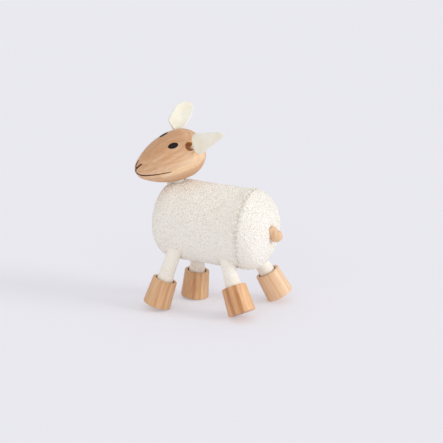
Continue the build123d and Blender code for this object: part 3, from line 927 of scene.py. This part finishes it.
def leg_sleeve(name, settings, seed):
    """Upper and lower half of a leg sleeve, which share the ring where they meet.

    The radius is even, then eases out above the hoof's rim until it fills the socket.
    """
    leg = LEG_FRAMES[name]
    line, direction, along = leg_route(leg)
    side = unit(np.cross(leg.down, leg.hoof_down))
    below_rim = along - SLEEVE_ROOT - leg.length - RIM_BELOW_ANKLE
    filling = (SOCKET_FILL - SLEEVE_RADIUS) * eased(1 + below_rim / SOCKET_EASE)
    radius = SLEEVE_RADIUS - LEG_INSET + filling
    rings, pile = napped_rings(line, direction, side, radius, settings, seed)
    split = int(np.searchsorted(along, SLEEVE_ROOT + leg.length * HALVES_MEET))
    upper = ring_solid(f"{name}_sleeve_upper", rings[: split + 1], pile[: split + 1])
    return upper, ring_solid(f"{name}_sleeve_lower", rings[split:], pile[split:])


def neck_sleeve(settings):
    """Neck sleeve: an even tube up the neck's axis that eases out downwards into the fleece."""
    low = NECK_PIVOT - NECK_AXIS * NECK_BELOW
    line = low + np.linspace(0, NECK_BELOW + NECK_ABOVE, NECK_STEPS)[:, None] * NECK_AXIS
    start, end, reach = NECK_SPREAD
    below = -((line - NECK_PIVOT) @ NECK_AXIS)
    radius = SLEEVE_RADIUS - NECK_INSET + reach * eased((below - start) / (end - start))
    direction = np.repeat(NECK_AXIS[None], NECK_STEPS, 0)
    side = unit(np.cross(NECK_AXIS, LEFT))
    return ring_solid("neck_sleeve_knit",
                      *napped_rings(line, direction, side, radius, settings, 360))


def wire_rings(line):
    """Rings of a round wire: circles square to its line, set out from the barrel's forward."""
    direction = unit(np.gradient(line, axis=0))
    lead = unit(np.cross(direction, FORWARD))
    ray = rays(circle(WIRE_SIDES), lead[:, None], np.cross(direction, lead)[:, None])
    return line[:, None] + WIRE_RADIUS * ray


def leg_wire(name):
    """Upper and lower half of a leg's wire, which turns down from its anchor at the hip.

    The line is straight out of the barrel, a parabola at the hip, then the sleeve's own line and a
    straight tip.
    """
    leg = LEG_FRAMES[name]
    route, _, along = leg_route(leg)
    below = along > SLEEVE_ROOT + WIRE_BEND
    t = np.linspace(0, 1, BEND_STEPS)[:, None]
    up = np.linspace(WIRE_ANCHOR, WIRE_BEND, ANCHOR_STEPS, endpoint=False)
    anchor = leg.hip + up[:, None] * UP
    corner = leg.hip + WIRE_BEND * ((1 - t) ** 2 * UP + t**2 * leg.down)
    tip = route[-1] + np.linspace(0, WIRE_TIP, TIP_STEPS)[1:, None] * leg.hoof_down
    split = int(np.searchsorted(along[below], SLEEVE_ROOT + leg.length * HALVES_MEET))
    split += len(anchor) + len(corner)
    rings = wire_rings(np.concatenate((anchor, corner, route[below], tip)))
    upper = ring_solid(f"{name}_wire_upper", rings[: split + 1])
    return upper, ring_solid(f"{name}_wire_lower", rings[split:])


def neck_wire():
    """Neck wire: straight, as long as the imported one."""
    ends = (node_points("neck_wire") - NECK_PIVOT) @ NECK_AXIS
    up = np.linspace(ends.min(), ends.max(), NECK_WIRE_STEPS)
    line = NECK_PIVOT + up[:, None] * NECK_AXIS
    return ring_solid("neck_wire_steel", wire_rings(line))


# Felt ears


def ear_frame(name):
    """Root, and hole, length and face directions of an ear, from its hole and how it lies."""
    side = 1 if name == "left" else -1
    sweep, lift, twist = (math.radians(a) for a in EAR_LAY[name])
    radius = math.sqrt(HEAD_RADIUS**2 - (EAR_HOLE_BACK - HEAD_WAIST) ** 2)
    hole = np.array((-EAR_HOLE_BACK, side * radius * math.sin(EAR_HOLE_ANGLE),
                     radius * math.cos(EAR_HOLE_ANGLE)))
    outward = unit(hole + np.array((HEAD_WAIST, 0, 0)))
    length = np.array((-math.sin(sweep) * math.cos(lift),
                       side * math.cos(sweep) * math.cos(lift), math.sin(lift)))
    level = unit(np.array((1.0, 0, 0)) - length * length[0])
    face = level * math.cos(side * twist) + np.cross(length, level) * math.sin(side * twist)
    return HEAD.place(hole), outward @ HEAD.axes, length @ HEAD.axes, face @ HEAD.axes


def felt_ear(name, settings, seed):
    """Cupped felt leaf with a pinched root: flat closed sections carried along its length.

    A section is a loop over the leaf's two faces, bent about the cup; its two sides follow the
    ear's cut and end in a round tip, and the cup is tight at the root and opens towards the tip.
    """
    root, outward, length, face = ear_frame(name)
    across = np.cross(face, length)
    u = np.concatenate((np.linspace(0, EAR_FINE[0], EAR_SECTIONS[0], endpoint=False),
                        np.linspace(*EAR_FINE, EAR_SECTIONS[1])))
    cut = smooth_line(EAR_CUT[name], CUT_STEPS)
    upper, lower = (np.interp(u, cut[:, 0], cut[:, k]) * settings.width / MM for k in (1, 2))
    tip = np.clip((u - EAR_TIP) / (1 - EAR_TIP), 0, 1)
    half = (upper + lower) / 2 * np.sqrt(1 - tip**2)
    cup = np.interp(u, *EAR_CUP)[:, None]
    beta = circle(EAR_SIDES)
    spread = np.sign(np.cos(beta)) * np.abs(np.cos(beta)) ** 0.75
    skin = np.sign(np.sin(beta)) * np.abs(np.sin(beta)) ** 0.5
    reach = ((upper - lower) / 2)[:, None] + half[:, None] * spread
    bend = np.clip(reach, -EAR_BEND * cup, EAR_BEND * cup) / cup
    thick = settings.thickness / MM / 2 * np.clip(half / 1.2, 0, 1) ** 0.5
    sink = EAR_ROOT_DEPTH * np.clip(1 - u / EAR_PINCH, 0, 1) ** 1.5
    rearward = unit(length - outward * (length @ outward)) * settings.root_back / MM
    ahead = settings.length / MM * EAR_REACH[name] * u
    centre = root + rearward + ahead[:, None] * length - sink[:, None] * outward
    inward = rays(bend, face, -across)
    sheet = centre[:, None] + (cup * np.sin(bend))[..., None] * across
    sheet = sheet + (cup * (1 - np.cos(bend)))[..., None] * face
    rings = sheet + inward * (thick[:, None] * skin)[..., None]
    flat = rings.reshape(-1, 3)
    height, level, spacing = FELT_TUFTS
    tufts = height * (level - cellular(flat, spacing, seed + 1))
    lump = swell(flat, *FELT_SWELL, seed) + tufts
    lump = lump.reshape(rings.shape[:2]) * np.sign(skin) * np.clip(u * 6, 0, 1)[:, None]
    edge = np.maximum(np.abs(spread)[None, :], np.clip((u - 0.85) / 0.15, 0, 1)[:, None])
    return ring_solid(f"{name}_ear_felt", rings + inward * lump[..., None], edge)


# Painted face


def on_egg(points):
    """Nearest places on the egg's front and their outward directions, in head axes.

    Ahead of the nose arc's end the place lies on the nose ball; behind it the radius follows the
    flank arc.
    """
    front, left, up = points.T
    radius = np.hypot(left, up)
    nose = np.array((NOSE_X, 0, 0))
    from_nose = points - nose
    ball = unit(from_nose)
    front = np.clip(front, 0, NOSE_MEET)
    flank = FLANK_Y + np.sqrt(FLANK_RADIUS**2 - front**2)
    safe = np.maximum(radius, 1e-6)
    none = np.zeros_like(front)
    spoke = np.stack((none, left / safe, up / safe), -1)
    ahead = np.stack((front, none, none), -1)
    on_nose = (np.arctan2(radius, from_nose[:, 0]) < NOSE_SPAN)[:, None]
    place = np.where(on_nose, nose + NOSE_RADIUS * ball, ahead + flank[:, None] * spoke)
    flat = (ahead + (flank - FLANK_Y)[:, None] * spoke) / FLANK_RADIUS
    return place, np.where(on_nose, ball, flat)


def painted_eye(name, side, settings):
    """Drop of paint on the egg: rings of an oval from its middle out, domed, then back under it."""
    out = np.linspace(0.03, 1, EYE_RINGS)
    reach = np.concatenate((out, out[::-1]))[:, None]
    dome = EYE_DOME * np.sqrt(np.clip(1 - out**2, 0, 1)) + EYE_EDGE
    lift = np.concatenate((dome, np.full(EYE_RINGS, -EYE_SINK)))
    angle = circle(EYE_SIDES)
    ahead = settings.eye_length / MM / 2 * reach * np.cos(angle)
    round_by = settings.eye_width / MM / 2 * reach * np.sin(angle) / HEAD_RADIUS
    phi = math.radians(settings.eye_angle) + round_by - settings.eye_tilt * ahead / HEAD_RADIUS
    points = np.stack((settings.eye_ahead / MM + ahead, side * HEAD_RADIUS * np.sin(phi),
                       HEAD_RADIUS * np.cos(phi)), -1)
    place, normal = on_egg(points.reshape(-1, 3))
    rings = HEAD.place(place + normal * np.repeat(lift, EYE_SIDES)[:, None])
    return ring_solid(name, rings.reshape(points.shape))


def brush_line(name, width, controls, ends):
    """Painted line on the egg: a low round section carried along a smooth line on the surface.

    Its width runs from one end's share to the other's, and both ends narrow to a point.
    """
    place, normal = on_egg(smooth_line(controls, LINE_RINGS))
    t = np.linspace(0, 1, LINE_RINGS)
    across = np.cross(normal, unit(np.gradient(place, axis=0)))
    from_end = np.clip(1 - np.minimum(t, 1 - t) / LINE_TAPER, 0, 1)
    rounded = np.sqrt(np.clip(1 - from_end**2, 0.02, 1))
    half = width / 2 * (ends[0] + (ends[1] - ends[0]) * t) * rounded
    section = rays(circle(LINE_SIDES), (across * half[:, None])[:, None],
                   (LINE_HEIGHT * normal)[:, None])
    return ring_solid(name, HEAD.place(place[:, None] + section))


# Stage


def add_aimed(name, data, towards):
    """New camera or lamp that looks back along a direction."""
    obj = link(bpy.data.objects.new(name, data))
    obj.rotation_euler = (-towards).to_track_quat("-Z", "Y").to_euler()
    return obj


def even_sky(strength):
    """World of even light; beyond the floor's edge the camera sees the floor's own tone."""
    world = bpy.data.worlds.new("even_sky")
    world.use_nodes = True
    tree = world.node_tree
    tree.nodes.clear()
    light = add_node(tree, "Background", {"Color": (0.985, 0.985, 1.0, 1.0), "Strength": strength})
    beyond = add_node(tree, "Background", {"Color": colour("#E9E9F0"), "Strength": 1.0})
    direct = add_node(tree, "LightPath").outputs["Is Camera Ray"]
    sky = add_node(tree, "MixShader", links={0: direct, 1: light.outputs[0], 2: beyond.outputs[0]})
    add_node(tree, "OutputWorld", links={"Surface": sky.outputs[0]})
    return world


def matt_card(name, tone, background, share):
    """Matt card: even and pale, with only the faintest cloud in it.

    A share of what the camera sees of it is even light, which keeps the shadows as pale as on lit
    paper.
    """
    material, tree, shader = new_material(name, Roughness=0.9, Specular_IOR_Level=0.1)
    cloud = noise(tree, millimetre_space(tree), 0.01, 2.0)
    wired(material, shader, Base_Color=veiled(tree, tone, "#F3F2F9", cloud, 0.3, 0.7, 0.25))
    glow = add_node(tree, "Emission", {"Color": colour(background), "Strength": 1.0})
    path = add_node(tree, "LightPath").outputs
    seen = path["Is Camera Ray"]
    for other in (path["Is Glossy Ray"], path["Is Transmission Ray"]):
        seen = add_node(tree, "Math", links={0: seen, 1: other}, operation="MAXIMUM").outputs[0]
    part = add_node(tree, "Math", {1: share}, {0: seen}, operation="MULTIPLY").outputs[0]
    both = add_node(tree, "MixShader", links={0: part, 1: shader.outputs[0], 2: glow.outputs[0]})
    tree.links.new(both.outputs[0], tree.nodes["Material Output"].inputs["Surface"])
    return material


# Settings that a user would change


def length_setting(name, description, default):
    """Length property in metres, given in millimetres."""
    return FloatProperty(name=name, description=description, default=default * MM, unit="LENGTH",
                         precision=5)


def number_setting(name, description, default, **limits):
    """Plain number property."""
    return FloatProperty(name=name, description=description, default=default, **limits)


def colour_setting(name, description, code):
    """Colour property from an sRGB hex code."""
    return FloatVectorProperty(name=name, description=description, subtype="COLOR", size=3, min=0,
                               max=1, default=linear(code))


class FleeceSettings(bpy.types.PropertyGroup):
    """Fleece jacket."""

    pile_height: length_setting("Pile height", "Height of the nubs over their creases", 0.26)
    nub_spacing: length_setting("Nub spacing", "Distance between nubs of the fleece", 1.05)
    mesh_spacing: length_setting("Mesh spacing", "Distance between points of the mesh", 0.3)
    curl_spacing: length_setting("Loop spacing", "Distance between yarn loops", 1.15)
    curl_radius: length_setting("Loop radius", "Radius of a yarn loop", 0.26)
    yarn_radius: length_setting("Yarn radius", "Radius of the yarn of a loop", 0.21)
    dip_depth: length_setting("Dip depth", "How far the fleece sinks round a limb", 0.7)
    dip_width: length_setting("Dip width", "How wide the sunken ring round a limb is", 1.3)
    seam_roll: length_setting("Seam width", "Width of the drawn-in edge beside the seam", 1.5)
    seam_depth: length_setting("Seam depth", "Depth of the drawn-in edge at the seam", 0.75)
    seam_swell: length_setting("Seam swell", "How far the stuffing swells at the upper seam", 0.9)
    shoulder_fall: length_setting("Shoulder fall", "How far the cap's shoulder falls off", 0.8)
    stitches: IntProperty(name="Stitches", description="Stitches round the seam", default=46, min=8)
    stitch_reach: length_setting("Stitch reach", "Reach of a stitch to each side of the seam", 0.95)
    thread_radius: length_setting("Thread radius", "Radius of the sewing thread", 0.17)
    tips: colour_setting("Tip colour", "Colour of the loops' tips", "#FDF9F1")
    # Painted shade deep in the fleece, and also the tone of its random patches
    creases: colour_setting("Crease colour", "Colour deep in the fleece", "#F6EDDF")


class SleeveSettings(bpy.types.PropertyGroup):
    """Leg and neck sleeves."""

    nap_height: length_setting("Nap height", "Height of the brushed nap", 0.12)
    nap_spacing: length_setting("Nap spacing", "Distance between nap tufts", 0.6)
    tips: colour_setting("Nap colour", "Colour of the nap", "#FFFBF1")
    creases: colour_setting("Shade colour", "Colour deep in the nap", "#FBF3E5")


class EarSettings(bpy.types.PropertyGroup):
    """Felt ears."""

    length: length_setting("Length", "Length from the hole to the tip", 15.7)
    width: length_setting("Width", "Width at the widest section", 9.3)
    thickness: length_setting("Thickness", "Thickness of the felt", 1.25)
    root_back: length_setting("Root place", "How far back in its hole the root sits", 1.25)
    pale: colour_setting("Felt colour", "Main colour of the felt", "#FCF8E8")
    shade: colour_setting("Shade colour", "Colour of the felt's darker patches", "#F5ECD2")


class WoodSettings(bpy.types.PropertyGroup):
    """Turned wood."""

    light: colour_setting("Light wood", "Colour of the early wood", "#FDE1C1")
    middle: colour_setting("Middle wood", "Main colour of the wood", "#F1C694")
    # The dark tone also colours the painted shade in the stacked layers of the head
    dark: colour_setting("Dark wood", "Colour of the late wood and the flecks", "#B56E32")
    ring: length_setting("Ring width", "Width of a growth ring", 2.1)


class FaceSettings(bpy.types.PropertyGroup):
    """Painted face."""

    eye_length: length_setting("Eye length", "Length of an eye along the head", 4.4)
    eye_width: length_setting("Eye width", "Width of an eye round the head", 2.75)
    eye_ahead: length_setting("Eye place", "Eye's distance ahead of the widest section", 3.46)
    eye_angle: number_setting("Eye angle", "Angle from the top of the head, in degrees", 26.7)
    eye_tilt: number_setting("Eye tilt", "How far the front of an eye turns to the top", 0.1)
    line_width: length_setting("Line width", "Width of the nose and mouth lines", 0.85)
    eye_colour: colour_setting("Eye colour", "Paint of the eyes", "#120B08")
    line_colour: colour_setting("Line colour", "Paint of the nose and mouth", "#4A2013")


class StageSettings(bpy.types.PropertyGroup):
    """Camera, light and floor."""

    azimuth: number_setting("Azimuth", "Camera's way round the toy, in degrees", 204.0)
    elevation: number_setting("Elevation", "Camera's angle above the floor, in degrees", 17.0)
    distance: number_setting("Distance", "Camera's distance", 1.1, unit="LENGTH")
    field: number_setting("Field", "Width seen at the toy", 0.1883, unit="LENGTH")
    key: number_setting("Key light", "Strength of the soft sun from the right", 1.01)
    fill: number_setting("Fill light", "Strength of the soft sun from the camera", 0.36)
    sky: number_setting("Sky light", "Strength of the even light", 0.71)
    floor: colour_setting("Floor colour", "Colour of the floor", "#F7F6FC")
    background: colour_setting("Background", "Colour of the floor's even light", "#EFEFF6")
    glow: number_setting("Floor glow", "Share of even light in what the camera sees of the floor",
                         0.35, min=0, max=1, subtype="FACTOR")


# Operators


class SHEEP_OT_fleece(bpy.types.Operator):
    """Make the fleece wrap and rear cap with their loops and the seam's thread"""

    bl_idname = "sheep.fleece"
    bl_label = "Fleece jacket"

    def execute(self, context):
        settings = context.scene.sheep_fleece
        fleece = looped_wool_fleece("looped_wool_fleece", settings.tips, settings.creases)
        thread = brushed_knit("cotton_sewing_thread", settings.tips, settings.creases)
        for name, node, side, grow, seed in (
                ("fleece_wrap_pile", "fleece_wrap", 1, 0.0, 11),
                ("fleece_cap_pile", "fleece_rear_cap", -1, CAP_GROW, 21)):
            dress(fleece_panel(name, side, grow, settings, seed), fleece, "torso", "fleece", node)
            for layer in range(2):
                loops = fleece_curls(f"{name}_loops_{layer}", side, grow, settings, seed, layer)
                dress(loops, fleece, "torso", "fleece", node)
        stitches = seam_thread("seam_stitches", settings)
        dress(stitches, thread, "torso", "fleece", "fleece_rear_cap")
        return {"FINISHED"}


class SHEEP_OT_sleeves(bpy.types.Operator):
    """Make the sleeves and wires of the legs and the neck"""

    bl_idname = "sheep.sleeves"
    bl_label = "Knit sleeves"

    def execute(self, context):
        settings = context.scene.sheep_sleeves
        knit = brushed_knit("brushed_cotton_knit", settings.tips, settings.creases)
        wire = drawn_wire("drawn_steel_wire")
        for index, name in enumerate(LEGS):
            for (upper, lower), material, slot, node in (
                    (leg_sleeve(name, settings, 300 + 10 * index), knit, "knit_sleeve",
                     f"{name}_leg_sleeve"),
                    (leg_wire(name), wire, "wire", f"{name}_leg_wire")):
                dress(upper, material, None, slot, node)
                dress(lower, material, None, slot, node)
                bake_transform(upper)
                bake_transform(lower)
        for piece, material, slot, node in (
                (neck_sleeve(settings), knit, "knit_sleeve", "neck_sleeve"),
                (neck_wire(), wire, "wire", "neck_wire")):
            dress(piece, material, None, slot, node)
            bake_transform(piece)
        return {"FINISHED"}


class SHEEP_OT_ears(bpy.types.Operator):
    """Make the two cupped felt ears"""

    bl_idname = "sheep.ears"
    bl_label = "Felt ears"

    def execute(self, context):
        settings = context.scene.sheep_ears
        felt = pressed_felt("pressed_wool_felt", settings.pale, settings.shade)
        for index, name in enumerate(EAR_LAY):
            ear = felt_ear(name, settings, 400 + 10 * index)
            dress(ear, felt, "head", "felt", f"{name}_ear")
        return {"FINISHED"}


class SHEEP_OT_wood(bpy.types.Operator):
    """Give the head, hooves, tail and barrel their turned wood"""

    bl_idname = "sheep.wood"
    bl_label = "Turned wood"

    def execute(self, context):
        settings = context.scene.sheep_wood
        tones = (settings.light, settings.middle, settings.dark)
        ring = settings.ring / MM
        nodes = FRAME["nodes"]
        # The ear holes get painted shade inside
        depth, *hole_shade = EAR_HOLE_SHADE
        stacked = unit(HEAD.up + HEAD_LAYER_TILT * HEAD.nose)
        # The head's stacks are partly streaks of the wood and partly painted shade on top and underneath
        head = turned_beech(
            "turned_beech_head", HEAD.nose, HEAD.centre, tones, ring * 1.5, (0.06, -0.05),
            (10.0, -4.0), 0.12, fleck_share=0.14,
            stacks=((stacked, HEAD_STREAKS_AND_SHADE), (HEAD.up, HEAD_UNDERSIDE_SHADE)),
            shaded_holes=[(root - depth * outward, *hole_shade)
                   for root, outward, *_ in map(ear_frame, EAR_LAY)])
        give_material(nodes["head"], head)
        # The hoof sockets get painted shade inside
        depth, *hole_shade = HOOF_SOCKET_SHADE
        for name, (*blank, aside, lean) in HOOF_BLANKS.items():
            leg = LEG_FRAMES[name]
            across = unit(HOOF_ACROSS - leg.hoof_down * (HOOF_ACROSS @ leg.hoof_down))
            # A hoof's stacks are partly streaks of its wood and partly painted shade on its side away from the
            # light
            hoof = turned_beech(
                f"turned_beech_{name}_hoof", -leg.hoof_down, leg.sole, blank, ring, lean, aside,
                0.16, stacks=((across, HOOF_STREAKS_AND_SHADE[name]),),
                shaded_holes=[(leg.ankle + depth * leg.hoof_down, *hole_shade)])
            give_material(nodes[f"{name}_hoof"], hoof)
        pale = ("#F3CFA9", "#E8BB90", settings.dark)
        tail = turned_beech("turned_beech_tail", UP, TAIL_MIDDLE, pale, ring, contrast=0.2)
        give_material(nodes["tail"], tail)
        barrel = turned_beech("turned_beech_barrel", FORWARD, BARREL_CENTRE, tones, ring, gloss=0.6)
        give_material(nodes["barrel_core"], barrel)
        return {"FINISHED"}


class SHEEP_OT_face(bpy.types.Operator):
    """Paint the eyes, nose and mouth on the head"""

    bl_idname = "sheep.face"
    bl_label = "Painted face"

    def execute(self, context):
        settings = context.scene.sheep_face
        black = hand_paint("black_eye_paint", settings.eye_colour, "#1A110D", 0.5)
        brown = hand_paint("brown_line_paint", settings.line_colour, "#6A3620", 0.5)
        width = settings.line_width / MM
        for side, name in ((1, "left"), (-1, "right")):
            eye = painted_eye(f"{name}_eye_paint", side, settings)
            dress(eye, black, "head", "turned_wood")
            for part, (points, ends) in HALF_LINES.items():
                mirrored = np.array(points) * (1, side, 1)
                line = brush_line(f"{name}_{part}_line", width, mirrored, ends)
                dress(line, brown, "head", "turned_wood")
        dress(brush_line("lip_line", width, *LIP_LINE), brown, "head", "turned_wood")
        return {"FINISHED"}


class SHEEP_OT_stage(bpy.types.Operator):
    """Set the camera, the soft suns, the even sky and the pale floor"""

    bl_idname = "sheep.stage"
    bl_label = "Stage"

    def execute(self, context):
        settings = context.scene.sheep_stage
        scene = context.scene
        azimuth, elevation = math.radians(settings.azimuth), math.radians(settings.elevation)
        level = math.cos(elevation)
        back = Vector((math.sin(azimuth) * level, -math.cos(azimuth) * level, math.sin(elevation)))
        right = Vector((math.cos(azimuth), math.sin(azimuth), 0))
        lens = bpy.data.cameras.new("sheep_camera")
        lens.sensor_width = SENSOR
        lens.lens = SENSOR * settings.distance / settings.field
        scene.camera = add_aimed("sheep_camera", lens, back)
        shift = right * AIM_SHIFT[0] + back.cross(right) * AIM_SHIFT[1]
        aim = Vector(BARREL_CENTRE * MM) + shift * (settings.field / FIELD_SHARES)
        scene.camera.location = aim + back * settings.distance
        scene.view_settings.view_transform = "Standard"

        for name, strength, width, tint, to_right, to_camera, rise in (
                ("key_sun", settings.key, 22, (0.955, 0.98, 1.0), 0.9, 0.3, 0.3),
                ("fill_sun", settings.fill, 70, (1.0, 0.93, 0.84), -0.15, 1.0, 0.1)):
            sun = bpy.data.lights.new(name, "SUN")
            sun.energy = strength
            sun.angle = math.radians(width)
            sun.color = tint
            add_aimed(name, sun, right * to_right + back * to_camera + Vector((0, 0, rise)))

        scene.world = even_sky(settings.sky)
        corners = np.array(((-1, -1, 0), (1, -1, 0), (1, 1, 0), (-1, 1, 0))) * FLOOR_HALF
        floor = make_object("pale_floor", corners, [(0, 1, 2, 3)])
        card = matt_card("matt_card", settings.floor, settings.background, settings.glow)
        give_material(floor, card)
        return {"FINISHED"}


class SHEEP_PT_sidebar(bpy.types.Panel):
    """Sheep's pieces in the sidebar"""

    bl_idname = "SHEEP_PT_sidebar"
    bl_label = "Sheep"
    bl_space_type = "VIEW_3D"
    bl_region_type = "UI"
    bl_category = "Sheep"

    def draw(self, context):
        for operator in OPERATORS:
            self.layout.operator(operator.bl_idname)
        for attribute, group in SETTINGS.items():
            box = self.layout.box()
            for key in group.__annotations__:
                box.prop(getattr(context.scene, attribute), key)


SETTINGS = {
    "sheep_fleece": FleeceSettings,
    "sheep_sleeves": SleeveSettings,
    "sheep_ears": EarSettings,
    "sheep_wood": WoodSettings,
    "sheep_face": FaceSettings,
    "sheep_stage": StageSettings,
}
OPERATORS = (SHEEP_OT_stage, SHEEP_OT_fleece, SHEEP_OT_sleeves, SHEEP_OT_ears, SHEEP_OT_wood,
             SHEEP_OT_face)
CLASSES = (*SETTINGS.values(), *OPERATORS, SHEEP_PT_sidebar)


def register():
    """Register the classes and put each settings group on the scene."""
    for item in CLASSES:
        bpy.utils.register_class(item)
    for attribute, group in SETTINGS.items():
        setattr(bpy.types.Scene, attribute, PointerProperty(type=group))


def unregister():
    """Take the settings off the scene and unregister the classes."""
    for attribute in SETTINGS:
        delattr(bpy.types.Scene, attribute)
    for item in reversed(CLASSES):
        bpy.utils.unregister_class(item)


def main():
    """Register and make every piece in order."""
    register()
    bpy.ops.sheep.stage()
    bpy.ops.sheep.fleece()
    bpy.ops.sheep.sleeves()
    bpy.ops.sheep.ears()
    bpy.ops.sheep.wood()
    bpy.ops.sheep.face()


if __name__ == "__main__":
    main()
